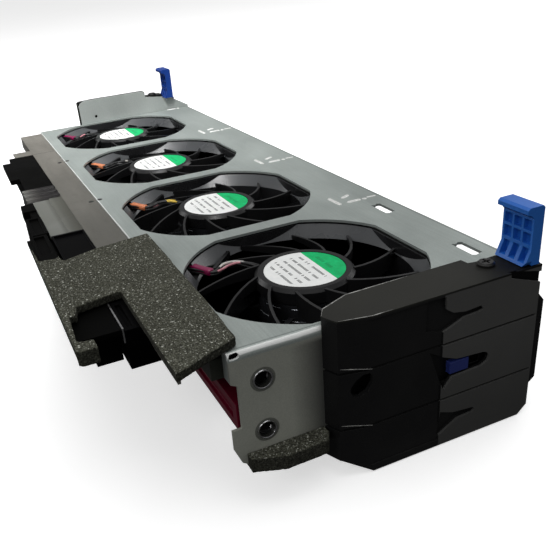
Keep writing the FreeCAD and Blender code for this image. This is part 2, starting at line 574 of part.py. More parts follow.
# ======================================================================= foam
foam = prism("foam_sheet", "xy", [
    (-64.0, -46.8), (-59.9, -71.7), (-54.6, -87.3), (-61.4, -88.0), (-59.0, -89.8), (-60.4, -96.6),
    (-76.5, -97.3), (-76.0, -98.0), (25.4, -98.0), (26.8, -96.6), (26.8, -90.4), (20.4, -90.4),
    (19.4, -96.0), (-0.8, -94.8), (-0.2, -92.4), (-6.8, -91.0), (-10.4, -75.2), (-10.6, -73.4), (56.0, -73.4),
    (45.0, -49.0), (20.0, -48.0)], 0.4, 4.0)
foam_end = prism("foam_end", "xy", [(24.2, -97.6), (25.4, -98.0), (26.8, -96.6), (26.8, -90.4), (24.2, -90.4)],
                 -2.4, 1.0)
node(fuse("foam_strip", foam, foam_end), "foam_top")
PAD = [(38.0, -51.0), (52.5, -51.0), (57.0, -39.0), (56.5, -22.5), (52.5, -20.0), (38.0, -20.0)]
pad_n = prism("foam_pad_near", "xy", PAD, -47.4, -46.0)
pad_n2 = prism("foam_pad_near_up", "xy", [(48.5, -51.0), (52.5, -51.0), (57.0, -39.0), (56.5, -22.5),
                                          (52.5, -20.0), (48.5, -20.0)], -47.0, -40.9)
pad_f = prism("foam_pad_far", "xy", mirror_x([(38.0, -51.0), (50.0, -51.0), (50.0, -24.0), (38.0, -24.0)]),
              -52.0, -46.0)
node(group_of("pad_group", fuse("foam_pad_near_all", pad_n, pad_n2), pad_f), "foam_bottom")

# ======================================================================= fans
# One fan is drawn about its own axis, its underside at z = 0, and is then
# placed four times.
def local_cyl(name, rad, z0, z1):
    dim(name + "_rad", rad)
    dim(name + "_za", z0)
    dim(name + "_zb", z1)
    o = doc.addObject("Part::Cylinder", name)
    bind(o, "Radius", "Dims.%s_rad" % name)
    bind(o, "Height", "Dims.%s_zb - Dims.%s_za" % (name, name))
    bind(o, "Placement.Base.z", "Dims.%s_za" % name)
    return o


def local_cone(name, r0, r1, z0, z1):
    for k, val in (("ra", r0), ("rb", r1), ("za", z0), ("zb", z1)):
        dim(name + "_" + k, val)
    o = doc.addObject("Part::Cone", name)
    bind(o, "Radius1", "Dims.%s_ra" % name)
    bind(o, "Radius2", "Dims.%s_rb" % name)
    bind(o, "Height", "Dims.%s_zb - Dims.%s_za" % (name, name))
    bind(o, "Placement.Base.z", "Dims.%s_za" % name)
    return o


def local_square(name, half, z0, z1):
    for k, val in (("half", half), ("za", z0), ("zb", z1)):
        dim(name + "_" + k, val)
    o = doc.addObject("Part::Box", name)
    bind(o, "Length", "2 * Dims.%s_half" % name)
    bind(o, "Width", "2 * Dims.%s_half" % name)
    bind(o, "Height", "Dims.%s_zb - Dims.%s_za" % (name, name))
    bind(o, "Placement.Base.x", "-Dims.%s_half" % name)
    bind(o, "Placement.Base.y", "-Dims.%s_half" % name)
    bind(o, "Placement.Base.z", "Dims.%s_za" % name)
    return o


def ring(name, r_out, r_in, z0, z1):
    return cut(name, local_cyl(name + "_outer", r_out, z0, z1),
               local_cyl(name + "_inner", r_in, z0 - 1.0, z1 + 1.0))


dim("vane_count", 11)
dim("vane_thick", 1.1)
dim("vane_swirl", 0.7)
dim("blade_count", 7)
dim("blade_thick", 1.7)
dim("blade_twist_deg", 38.0)


def plane_of(body, role):
    for f in body.Origin.OriginFeatures:
        if f.Role == role:
            return f
    raise RuntimeError("no plane " + role)


def axis_of(body, role):
    return plane_of(body, role)


# --- stator vanes: swept strips in a polar pattern
def vane_outline():
    """Corner points of one swept vane, seen along the fan's axis."""
    pts_a, pts_b = [], []
    n = 6
    for k in range(n + 1):
        r = 19.9 + (45.4 - 19.9) * k / n
        th = math.radians(160.0) + v("vane_swirl") * math.log(r / v("hub_rad"))
        lean = math.atan(v("vane_swirl"))
        px, py = r * math.cos(th), r * math.sin(th)
        nx, ny = -math.sin(th + lean), math.cos(th + lean)
        h = 0.5 * v("vane_thick")
        pts_a.append((px + nx * h, py + ny * h))
        pts_b.append((px - nx * h, py - ny * h))
    return [(round(a, 4), round(b, 4)) for a, b in pts_a + pts_b[::-1]]


vane_body = doc.addObject("PartDesign::Body", "VaneSpider")
vane_sk = outline("vane_outline", vane_outline(), None, None, container=vane_body)
vane_sk.AttachmentSupport = [(plane_of(vane_body, "XY_Plane"), "")]
vane_sk.MapMode = "FlatFace"
dim("vane_low_z", 28.0)
dim("vane_high_z", 38.0)
bind(vane_sk, "AttachmentOffset.Base.z", "Dims.vane_low_z")
vane_pad = vane_body.newObject("PartDesign::Pad", "vane_pad")
vane_pad.Profile = vane_sk
bind(vane_pad, "Length", "Dims.vane_high_z - Dims.vane_low_z")
doc.recompute()
vane_pat = vane_body.newObject("PartDesign::PolarPattern", "vane_pattern")
vane_pat.Originals = [vane_pad]
vane_pat.Axis = (axis_of(vane_body, "Z_Axis"), [""])
vane_pat.Angle = 360
bind(vane_pat, "Occurrences", "Dims.vane_count")
vane_body.Tip = vane_pat
doc.recompute()
vane_top = local_cone("vane_top", 98.0, 17.3, 28.0, 38.0)
vanes = common("vanes_sloped", vane_body, vane_top)

housing_sq = doc.addObject("Part::Box", "housing_square")
bind(housing_sq, "Length", "Dims.fan_side")
bind(housing_sq, "Width", "Dims.fan_side")
bind(housing_sq, "Height", "Dims.fan_depth")
bind(housing_sq, "Placement.Base.x", "-Dims.fan_side / 2")
bind(housing_sq, "Placement.Base.y", "-Dims.fan_side / 2")
doc.recompute()
housing_rnd = fillet("housing_rounded", housing_sq, [(i, 4.0) for i in edges_where(
    housing_sq, lambda e: along(e, "z"))])
bore = local_cyl("housing_bore", v("fan_bore_rad"), -1.0, 39.0)
bind(bore, "Radius", "Dims.fan_bore_rad")
flare_top = common("flare_top", local_cone("flare_top_cone", 44.6, 50.15, 32.5, 39.0),
                   local_square("flare_top_square", 45.0, 32.0, 40.0))
flare_low = common("flare_low", local_cone("flare_low_cone", 48.8, 44.6, -1.0, 3.5),
                   local_square("flare_low_square", 45.0, -2.0, 5.0))
waist = cut("waist_ring", local_square("waist_square", 47.0, 4.0, 32.5),
            local_cyl("waist_core", 45.95, 3.0, 33.5))
corner_holes = []
for i, (sx, sy) in enumerate(((1, 1), (1, -1), (-1, 1), (-1, -1))):
    c = local_cyl("corner_hole_%d" % (i + 1), v("fan_hole_rad"), -1.0, 39.0)
    bind(c, "Radius", "Dims.fan_hole_rad")
    bind(c, "Placement.Base.x", "%d * Dims.fan_hole_pitch / 2" % sx)
    bind(c, "Placement.Base.y", "%d * Dims.fan_hole_pitch / 2" % sy)
    corner_holes.append(c)


def local_prism(name, pts, z0, z1):
    dim(name + "_from", z0)
    dim(name + "_to", z1)
    sk = outline(name + "_outline", pts, ROT_XY, (0, 0, 0))
    bind(sk, "Placement.Base.z", "Dims.%s_from" % name)
    o = doc.addObject("Part::Extrusion", name)
    o.Base = sk
    o.DirMode = "Custom"
    o.Dir = Vector(0, 0, 1)
    o.Solid = True
    bind(o, "LengthFwd", "Dims.%s_to - Dims.%s_from" % (name, name))
    return o


# the channel that the lead guide sits in, out through one corner
def strip(p, q, half, back=0.0, ahead=0.0):
    dx, dy = q[0] - p[0], q[1] - p[1]
    L = math.hypot(dx, dy)
    ux, uy = dx / L, dy / L
    p = (p[0] - ux * back, p[1] - uy * back)
    q = (q[0] + ux * ahead, q[1] + uy * ahead)
    nx, ny = -uy * half, ux * half
    return [(round(a, 4), round(b, 4)) for a, b in (
        (p[0] + nx, p[1] + ny), (p[0] - nx, p[1] - ny), (q[0] - nx, q[1] - ny), (q[0] + nx, q[1] + ny))]


GUIDE_P, GUIDE_Q = (-20.6, -33.4), (-31.6, -41.0)
channel = local_prism("lead_channel", strip((-25.0, -36.44), GUIDE_Q, 2.8, 0.0, 0.0), 33.6, 39.0)
channel_out = local_prism("lead_channel_out", [(-36.6, -40.2), (-32.0, -38.0), (-29.6, -42.0), (-32.2, -47.5),
                                               (-37.4, -47.5)], 33.6, 39.0)
housing = cut("housing_cut", housing_rnd, bore, flare_top, flare_low, waist, channel, channel_out,
              *corner_holes)
# the fixed hub cup hangs on the vanes, with the label seat sunk in its face
cup_ring = ring("cup_ring", 20.5, 18.8, 31.9, 36.0)
cup_disc = cut("cup_disc", fuse("cup_face", local_cyl("cup_disc_low", 20.5, 35.5, 36.6),
                                local_cone("cup_disc_edge", 20.5, 19.1, 36.6, 38.0)),
               local_cyl("cup_label_seat", 16.9, 37.5, 39.0))
tube = ring("bearing_tube", 5.0, 4.0, 8.0, 36.5)
clip_bar = local_prism("lead_clip_bar", strip((-27.4, -29.2), (-41.2, -16.9), 0.8), 32.6, 35.2)
frame_master = housing
spider_all = fuse("spider_all", cut("vanes_clear", vanes, local_cyl("vane_clear", 21.3, 20.0, 31.9)),
                  cup_ring, cup_disc, tube, clip_bar)
spider_master = cut("spider_master", spider_all, housing)

# --- rotor: hub cup turned, seven twisted blades lofted and patterned
rotor_body = doc.addObject("PartDesign::Body", "RotorBody")
hub_sk = outline("hub_outline", [(1.5, 2.0), (20.3, 2.0), (20.3, 31.3), (18.8, 31.3), (18.8, 4.0), (4.0, 4.0),
                                 (4.0, 7.0), (1.5, 7.0)], None, None, container=rotor_body)
hub_sk.AttachmentSupport = [(plane_of(rotor_body, "XZ_Plane"), "")]
hub_sk.MapMode = "FlatFace"
hub_rev = rotor_body.newObject("PartDesign::Revolution", "hub_turned")
hub_rev.Profile = hub_sk
hub_rev.ReferenceAxis = (hub_sk, ["V_Axis"])
hub_rev.Angle = 360
doc.recompute()


def blade_section(angle_deg, r_out):
    side_a, side_b = [], []
    n = 5
    for k in range(n + 1):
        r = 19.6 + (r_out - 19.6) * k / n
        th = math.radians(angle_deg) - 0.16 * math.sin(math.pi * (r - 19.6) / (r_out - 19.6)) \
            + 0.30 * (r - 19.6) / (r_out - 19.6)
        h = 0.5 * v("blade_thick") / r * (1.25 - 0.5 * (r - 19.6) / (r_out - 19.6))
        side_a.append((r * math.cos(th + h), r * math.sin(th + h)))
        side_b.append((r * math.cos(th - h), r * math.sin(th - h)))
    return [(round(a, 4), round(b, 4)) for a, b in side_a + side_b[::-1]]


sections = []
for i, (zz, frac, r_out) in enumerate(((4.0, -0.5, 42.6), (15.0, 0.0, 43.6), (26.0, 0.5, 42.8))):
    dim("blade_z_%d" % (i + 1), zz)
    s = outline("blade_section_%d" % (i + 1), blade_section(40.0 + frac * v("blade_twist_deg"), r_out),
                None, None, container=rotor_body)
    s.AttachmentSupport = [(plane_of(rotor_body, "XY_Plane"), "")]
    s.MapMode = "FlatFace"
    bind(s, "AttachmentOffset.Base.z", "Dims.blade_z_%d" % (i + 1))
    sections.append(s)
doc.recompute()
blade = rotor_body.newObject("PartDesign::AdditiveLoft", "blade_loft")
blade.Profile = sections[0]
blade.Sections = sections[1:]
blade.Ruled = True
doc.recompute()
blade_pat = rotor_body.newObject("PartDesign::PolarPattern", "blade_pattern")
blade_pat.Originals = [blade]
blade_pat.Axis = (axis_of(rotor_body, "Z_Axis"), [""])
blade_pat.Angle = 360
bind(blade_pat, "Occurrences", "Dims.blade_count")
rotor_body.Tip = blade_pat
doc.recompute()

magnet_master = ring("magnet_master", 18.8, 15.6, 6.0, 25.0)
shaft_master = local_cyl("shaft_master", v("shaft_rad"), 2.5, 34.0)
bind(shaft_master, "Radius", "Dims.shaft_rad")
stator_master = fuse("stator_master", ring("stator_core", 14.0, 5.0, 12.0, 24.0),
                     ring("stator_cap", 11.0, 5.0, 10.0, 26.0))
label_master = local_cyl("label_master", v("label_rad"), 37.5, 37.8)
bind(label_master, "Radius", "Dims.label_rad")


def bearing(name, z0):
    o = ring(name, v("bearing_outer_rad"), v("bearing_bore_rad"), z0, z0 + v("bearing_len"))
    return o


bearing_hi = bearing("bearing_high", 28.0)
bearing_lo = bearing("bearing_low", 10.0)


def local_block(name, x0, x1, y0, y1, z0, z1):
    for k, val in (("xa", x0), ("xb", x1), ("ya", y0), ("yb", y1), ("za", z0), ("zb", z1)):
        dim(name + "_" + k, val)
    o = doc.addObject("Part::Box", name)
    n = "Dims." + name
    bind(o, "Length", "%s_xb - %s_xa" % (n, n))
    bind(o, "Width", "%s_yb - %s_ya" % (n, n))
    bind(o, "Height", "%s_zb - %s_za" % (n, n))
    for ax in "xyz":
        bind(o, "Placement.Base." + ax, "%s_%sa" % (n, ax))
    return o


grip_master = cut("grip_master", fuse(
    "grip_fused", local_block("grip_bar", -40.0, 45.6, -52.0, -46.0, 7.0, 18.0),
    local_block("grip_tab_a", 28.0, 34.0, -46.5, -40.0, 4.0, 10.0),
    local_block("grip_tab_b", -34.0, -28.0, -46.5, -40.0, 4.0, 10.0)),
    local_block("grip_groove", -36.0, 41.6, -53.0, -50.6, 10.0, 15.0))

guide_master = cut("guide_master", local_prism("guide_outer", strip(GUIDE_P, GUIDE_Q, 2.8), 33.6, 37.9),
                   local_prism("guide_hole", strip(GUIDE_P, GUIDE_Q, 2.15, 2.0, 2.0), 34.05, 37.4))

plug_master = fuse("plug_master", local_block("plug_shell", 26.0, 38.0, -57.0, -51.0, 25.0, 33.0),
                   local_block("plug_key", 29.0, 34.0, -55.2, -52.8, 33.0, 34.2))

# --- leads: four round wires side by side, straight runs and tangent arcs
LEAD_PATH = [(-15.85, -13.35, 35.7), (-20.7, -18.0, 35.7), (-22.3, -23.6, 35.7), (-19.9, -28.9, 35.7),
             (-20.9, -33.55, 35.7), (-26.1, -37.2, 35.7), (-31.8, -41.1, 35.6), (-34.6, -46.6, 35.3),
             (-32.0, -52.4, 34.6), (-25.2, -54.7, 33.3), (-15.5, -54.2, 31.5), (-4.0, -54.5, 29.9),
             (7.5, -53.9, 29.2), (17.2, -54.2, 29.0), (26.0, -54.2, 29.0)]
dim("lead_wire_rad", 0.55)
dim("lead_gap", 1.42)


def offset_path(points, d, dz):
    out = []
    n = len(points)
    for i, (x, y, z) in enumerate(points):
        dirs = []
        for a, b in ((i - 1, i), (i, i + 1)):
            if a >= 0 and b < n:
                ux, uy = points[b][0] - points[a][0], points[b][1] - points[a][1]
                L = math.hypot(ux, uy)
                dirs.append((ux / L, uy / L))
        mx = sum(-u[1] for u in dirs)
        my = sum(u[0] for u in dirs)
        L = math.hypot(mx, my)
        mx, my = mx / L, my / L
        c = mx * (-dirs[0][1]) + my * dirs[0][0]
        out.append(Vector(x + mx * d / c, y + my * d / c, z + dz))
    return out


def round_path(pts):
    """Straight runs joined by tangent arcs, each as large as its runs allow."""
    edges, radii = [], []
    start = pts[0]
    for i in range(1, len(pts) - 1):
        a, b, c = pts[i - 1], pts[i], pts[i + 1]
        u = (a - b)
        w = (c - b)
        lu, lw = u.Length, w.Length
        u.normalize()
        w.normalize()
        turn = math.pi - u.getAngle(w)
        t = 0.45 * min(lu, lw)
        rad = t / math.tan(turn / 2.0)
        radii.append(rad)
        p = b + u * t
        q = b + w * t
        bis = (u + w)
        bis.normalize()
        centre = b + bis * (rad / math.cos(turn / 2.0))
        mid = centre - bis * rad
        edges.append(Part.LineSegment(start, p).toShape())
        edges.append(Part.Arc(p, mid, q).toShape())
        start = q
    edges.append(Part.LineSegment(start, pts[-1]).toShape())
    return Part.Wire(edges), radii


def tube_along(pts, rad):
    path, radii = round_path(pts)
    d = pts[1] - pts[0]
    prof = Part.Wire([Part.Circle(pts[0], d, rad).toShape()])
    solid = path.makePipeShell([prof], True, False)
    if solid.ShapeType != "Solid":
        solid = solid.Solids[0] if solid.Solids else Part.Solid(solid)
    want = math.pi * rad * rad * path.Length
    ratio = solid.Volume / want
    return solid, min(radii), ratio


lead_solids = []
for dd in (-0.5, 0.5):
    for dz in (-0.5, 0.5):
        s, rmin, ratio = tube_along(offset_path(LEAD_PATH, dd * v("lead_gap"), dz * v("lead_gap")),
                                    v("lead_wire_rad"))
        print("lead wire: least radius %.2f mm, volume ratio %.4f" % (rmin, ratio))
        lead_solids.append(s)
lead_master = given("lead_master", Part.makeCompound(lead_solids))


def place_fan_piece(label, links, k):
    g = doc.addObject("Part::Compound", label)
    g.Links = links
    bind(g, "Placement.Base.x", "Dims.frame_dx - %d * Dims.fan_pitch" % (3 - k))
    bind(g, "Placement.Base.y", "Dims.frame_dy")
    bind(g, "Placement.Base.z", "Dims.frame_dz + Dims.fan_top_z - Dims.fan_depth")
    return g


bearing_sets, guide_sets, plug_sets, iso_sets, label_sets = [], [], [], [], []
iso_parts = []
for i, (sx, sy) in enumerate(((1, 1), (1, -1), (-1, 1), (-1, -1))):
    for tag, z0, z1 in (("low", -4.8, 0.0), ("high", 38.0, 38.8)):
        c = local_cyl("isolator_%s_%d" % (tag, i + 1), 3.4, z0, z1)
        c.setExpression("Placement.Base.x", None)
        dim("isolator_%s_%d_px" % (tag, i + 1), 40.8 * sx)
        dim("isolator_%s_%d_py" % (tag, i + 1), 40.4 * sy)
        bind(c, "Placement.Base.x", "Dims.isolator_%s_%d_px" % (tag, i + 1))
        bind(c, "Placement.Base.y", "Dims.isolator_%s_%d_py" % (tag, i + 1))
        iso_parts.append(c)
for k in range(4):
    n = k + 1
    for what, master in (("frame", frame_master), ("vanes", spider_master), ("rotor", rotor_body),
                         ("magnet", magnet_master), ("shaft", shaft_master), ("stator", stator_master),
                         ("grip", grip_master), ("leads", lead_master)):
        node(place_fan_piece("fan_%d_%s_at" % (n, what), [master], k), "fan_%d_%s" % (n, what))
    bearing_sets.append(place_fan_piece("bearing_set_%d" % n, [bearing_hi, bearing_lo], k))
    guide_sets.append(place_fan_piece("guide_set_%d" % n, [guide_master], k))
    plug_sets.append(place_fan_piece("plug_set_%d" % n, [plug_master], k))
    label_sets.append(place_fan_piece("label_set_%d" % n, [label_master], k))
    iso_sets.append(place_fan_piece("isolator_set_%d" % n, iso_parts, k))
node(group_of("bearing_group", *bearing_sets), "fan_bearings")
node(group_of("guide_group", *guide_sets), "fan_lead_guides")
node(group_of("plug_group", *plug_sets), "fan_plugs")
node(group_of("label_group", *label_sets), "fan_labels")
node(group_of("isolator_group", *iso_sets), "fan_isolators")

# ====================================================================== output
doc.recompute()
for o in doc.Objects:
    st = [str(x) for x in o.State]
    if "Invalid" in st or "Error" in st:
        raise RuntimeError("object failed: %s %s" % (o.Name, st))
labels = set()
for o in NODES:
    s = o.Shape
    if s.isNull() or not s.isValid() or not s.Solids:
        raise RuntimeError("bad shape: " + o.Label)
    if o.Label in labels or len(o.Label) >= 60:
        raise RuntimeError("bad label: " + o.Label)
    labels.add(o.Label)

box = FreeCAD.BoundBox()
os.makedirs("parts", exist_ok=True)
for o in NODES:
    s = o.Shape
    box.add(s.BoundBox)
    s.exportStep("parts/%s.step" % o.Label)
    print("%-22s solids %3d  volume %9.1f mm3" % (o.Label, len(s.Solids), s.Volume))
print("nodes:", len(NODES))
print("box: X %.3f..%.3f  Y %.3f..%.3f  Z %.3f..%.3f" % (box.XMin, box.XMax, box.YMin, box.YMax,
                                                       box.ZMin, box.ZMax))
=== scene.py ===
import bpy
import bmesh
import math
import random
from mathutils import Vector, Matrix, noise


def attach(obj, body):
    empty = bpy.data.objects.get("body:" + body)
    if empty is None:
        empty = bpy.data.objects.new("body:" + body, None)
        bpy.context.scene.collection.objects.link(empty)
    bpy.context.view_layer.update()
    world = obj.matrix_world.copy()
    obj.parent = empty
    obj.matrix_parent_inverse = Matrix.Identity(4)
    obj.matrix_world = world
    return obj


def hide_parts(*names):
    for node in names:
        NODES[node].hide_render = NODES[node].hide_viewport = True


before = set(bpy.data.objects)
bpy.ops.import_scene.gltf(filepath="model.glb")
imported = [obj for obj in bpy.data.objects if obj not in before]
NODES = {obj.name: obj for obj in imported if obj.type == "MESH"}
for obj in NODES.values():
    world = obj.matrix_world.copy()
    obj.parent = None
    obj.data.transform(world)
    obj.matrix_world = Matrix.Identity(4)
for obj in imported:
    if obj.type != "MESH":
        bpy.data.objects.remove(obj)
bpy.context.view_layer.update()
scene = bpy.context.scene
random.seed(7)

# ------------------------------------------------------------------ placement
# Plate coordinates in millimetres: origin at the nearest fan's axis on the
# plate's top face, +X towards the near cap, +Y towards the levers, +Z up.
def P(x, y, z):
    return Vector(((x + 147.0) / 1000.0, (y + 12.0) / 1000.0, (z + 62.0) / 1000.0))


FAN_X = [-294.0, -196.0, -98.0, 0.0]

# --------------------------------------------------------------------- camera
cam_data = bpy.data.cameras.new("camera")
cam = bpy.data.objects.new("camera", cam_data)
scene.collection.objects.link(cam)
right = Vector((0.39879, 0.91273, -0.08877))
down = Vector((0.38376, -0.25401, -0.88781))
ahead = Vector((-0.83288, 0.31999, -0.45157))
rot = Matrix((right, -down, -ahead)).transposed()
cam.matrix_world = Matrix.Translation(P(226.715, -115.269, 115.942)) @ rot.to_4x4()
cam_data.sensor_width = 36.0
cam_data.lens = 687.0145 * 36.0 / 550.0
cam_data.shift_x = (275.0 - 242.266) / 550.0
cam_data.shift_y = (296.693 - 275.0) / 550.0
cam_data.clip_start = 0.01
cam_data.clip_end = 20.0
scene.camera = cam

# ------------------------------------------------------------------ materials
def srgb(r, g, b, a=1.0):
    def lin(c):
        c /= 255.0
        return c / 12.92 if c <= 0.04045 else ((c + 0.055) / 1.055) ** 2.4
    return (lin(r), lin(g), lin(b), a)


class Mat:
    """A small helper for node materials."""

    def __init__(self, name):
        self.m = bpy.data.materials.new(name)
        self.m.use_nodes = True
        self.n = self.m.node_tree.nodes
        self.l = self.m.node_tree.links
        self.b = self.n["Principled BSDF"]
        self.tc = self.n.new("ShaderNodeTexCoord")

    def coords(self, scale=(1, 1, 1), rot=(0, 0, 0), loc=(0, 0, 0), space="Object"):
        mp = self.n.new("ShaderNodeMapping")
        mp.inputs["Scale"].default_value = scale
        mp.inputs["Rotation"].default_value = rot
        mp.inputs["Location"].default_value = loc
        self.l.new(self.tc.outputs[space], mp.inputs["Vector"])
        return mp.outputs["Vector"]

    def noise(self, vec, scale, detail=3.0, rough=0.55, dist=0.0):
        t = self.n.new("ShaderNodeTexNoise")
        t.inputs["Scale"].default_value = scale
        t.inputs["Detail"].default_value = detail
        t.inputs["Roughness"].default_value = rough
        t.inputs["Distortion"].default_value = dist
        self.l.new(vec, t.inputs["Vector"])
        return t.outputs["Fac"]

    def voronoi(self, vec, scale, feature="F1", out="Distance", rand=1.0):
        t = self.n.new("ShaderNodeTexVoronoi")
        t.feature = feature
        t.inputs["Scale"].default_value = scale
        t.inputs["Randomness"].default_value = rand
        self.l.new(vec, t.inputs["Vector"])
        return t.outputs[out]

    def ramp(self, fac, stops, mode="LINEAR"):
        r = self.n.new("ShaderNodeValToRGB")
        r.color_ramp.interpolation = mode
        els = r.color_ramp.elements
        while len(els) < len(stops):
            els.new(0.5)
        for e, (p, c) in zip(els, stops):
            e.position = p
            e.color = c if len(c) == 4 else (*c, 1.0)
        self.l.new(fac, r.inputs["Fac"])
        return r.outputs["Color"]

    def rng(self, val, a0, a1, b0, b1, clamp=True):
        r = self.n.new("ShaderNodeMapRange")
        r.clamp = clamp
        for k, x in (("From Min", a0), ("From Max", a1), ("To Min", b0), ("To Max", b1)):
            r.inputs[k].default_value = x
        self.l.new(val, r.inputs["Value"])
        return r.outputs["Result"]

    def math(self, op, a, b=None, clamp=False):
        r = self.n.new("ShaderNodeMath")
        r.operation = op
        r.use_clamp = clamp
        for i, x in enumerate((a, b)):
            if x is None:
                continue
            if isinstance(x, (int, float)):
                r.inputs[i].default_value = x
            else:
                self.l.new(x, r.inputs[i])
        return r.outputs[0]

    def mix(self, fac, a, b, blend="MIX"):
        r = self.n.new("ShaderNodeMix")
        r.data_type = "RGBA"
        r.blend_type = blend
        if isinstance(fac, (int, float)):
            r.inputs[0].default_value = fac
        else:
            self.l.new(fac, r.inputs[0])
        for i, x in ((6, a), (7, b)):
            if isinstance(x, tuple):
                r.inputs[i].default_value = x
            else:
                self.l.new(x, r.inputs[i])
        return r.outputs[2]

    def sep(self, vec):
        s = self.n.new("ShaderNodeSeparateXYZ")
        self.l.new(vec, s.inputs[0])
        return s.outputs

    def set(self, **kw):
        for k, x in kw.items():
            sock = self.b.inputs[k.replace("_", " ")]
            if isinstance(x, (int, float, tuple)):
                sock.default_value = x
            else:
                self.l.new(x, sock)
        return self

    def bump(self, height, strength=0.2, dist=0.0005, normal=None):
        b = self.n.new("ShaderNodeBump")
        b.inputs["Strength"].default_value = strength
        b.inputs["Distance"].default_value = dist
        self.l.new(height, b.inputs["Height"])
        if normal is not None:
            self.l.new(normal, b.inputs["Normal"])
        self.l.new(b.outputs["Normal"], self.b.inputs["Normal"])
        return b.outputs["Normal"]


def sheet_metal(name, dark, light, metallic, r0, r1, grain=0.12):
    """Zinc-plated sheet: fine rolled grain, faint clouding, small stains."""
    m = Mat(name)
    cloud = m.noise(m.coords((9, 14, 14)), 1.6, 4.0, 0.6, 0.4)
    rolled = m.noise(m.coords((30, 1400, 1400)), 1.0, 2.0, 0.6)
    fine = m.noise(m.coords((1, 1, 1)), 2600.0, 1.5, 0.5)
    fac = m.math("ADD", m.math("MULTIPLY", cloud, 0.75), m.math("MULTIPLY", rolled, 0.35), clamp=True)
    col = m.ramp(fac, [(0.30, dark), (0.75, light)])
    col = m.mix(m.rng(fine, 0.42, 0.62, 0.0, grain), col, (0.9, 0.9, 0.88, 1.0), "OVERLAY")
    m.set(Base_Color=col, Metallic=metallic, Roughness=m.rng(m.math("ADD", rolled, cloud), 0.6, 1.3, r0, r1))
    m.bump(m.math("ADD", m.math("MULTIPLY", rolled, 0.7), m.math("MULTIPLY", fine, 0.3)), 0.10, 0.0002)
    return m.m


def moulded(name, base, light, rough0, rough1, bump=0.15, scale=1500.0, spec=0.5, coat=0.0, dust=0.0, painted_bore_sheen=None):
    """Moulded plastic: fine spark-erosion texture, slight sheen changes."""
    m = Mat(name)
    big = m.noise(m.coords((1, 1, 1)), 26.0, 4.0, 0.6, 0.3)
    small = m.noise(m.coords((1, 1, 1)), scale, 2.0, 0.6)
    col = m.ramp(m.math("ADD", m.math("MULTIPLY", big, 0.7), m.math("MULTIPLY", small, 0.3)),
                 [(0.3, base), (0.72, light)])
    if dust > 0:
        geo = m.n.new("ShaderNodeNewGeometry")
        up = m.sep(geo.outputs["Normal"])[2]
        spots = m.noise(m.coords((1, 1, 1)), 700.0, 3.0, 0.7)
        fac = m.math("MULTIPLY", m.rng(up, 0.5, 1.0, 0.0, 1.0), m.rng(spots, 0.5, 0.75, 0.0, dust))
        col = m.mix(fac, col, srgb(120, 116, 108))
    if painted_bore_sheen is not None:
        # painted reflection: slanted faces are coloured lighter, standing for the sheen on the flared bore
        geo = m.n.new("ShaderNodeNewGeometry")
        up = m.sep(geo.outputs["Normal"])[2]
        slant = m.math("MULTIPLY", m.rng(up, 0.12, 0.30, 0.0, 1.0), m.rng(up, 0.80, 0.93, 1.0, 0.0))
        col = m.mix(m.math("MULTIPLY", slant, m.rng(big, 0.3, 0.7, 0.7, 1.0)), col, painted_bore_sheen)
    m.set(Base_Color=col, Roughness=m.rng(big, 0.35, 0.65, rough0, rough1))
    m.b.inputs["Specular IOR Level"].default_value = spec
    if coat > 0:
        m.b.inputs["Coat Weight"].default_value = coat
        m.b.inputs["Coat Roughness"].default_value = 0.12
    m.bump(m.math("ADD", m.math("MULTIPLY", small, 0.8), m.math("MULTIPLY", big, 0.2)), bump, 0.0003)
    return m.m


MAT = {}
MAT["zinc"] = sheet_metal("zinc_sheet_metal", srgb(146, 152, 149), srgb(178, 184, 180), 0.45, 0.40, 0.55)


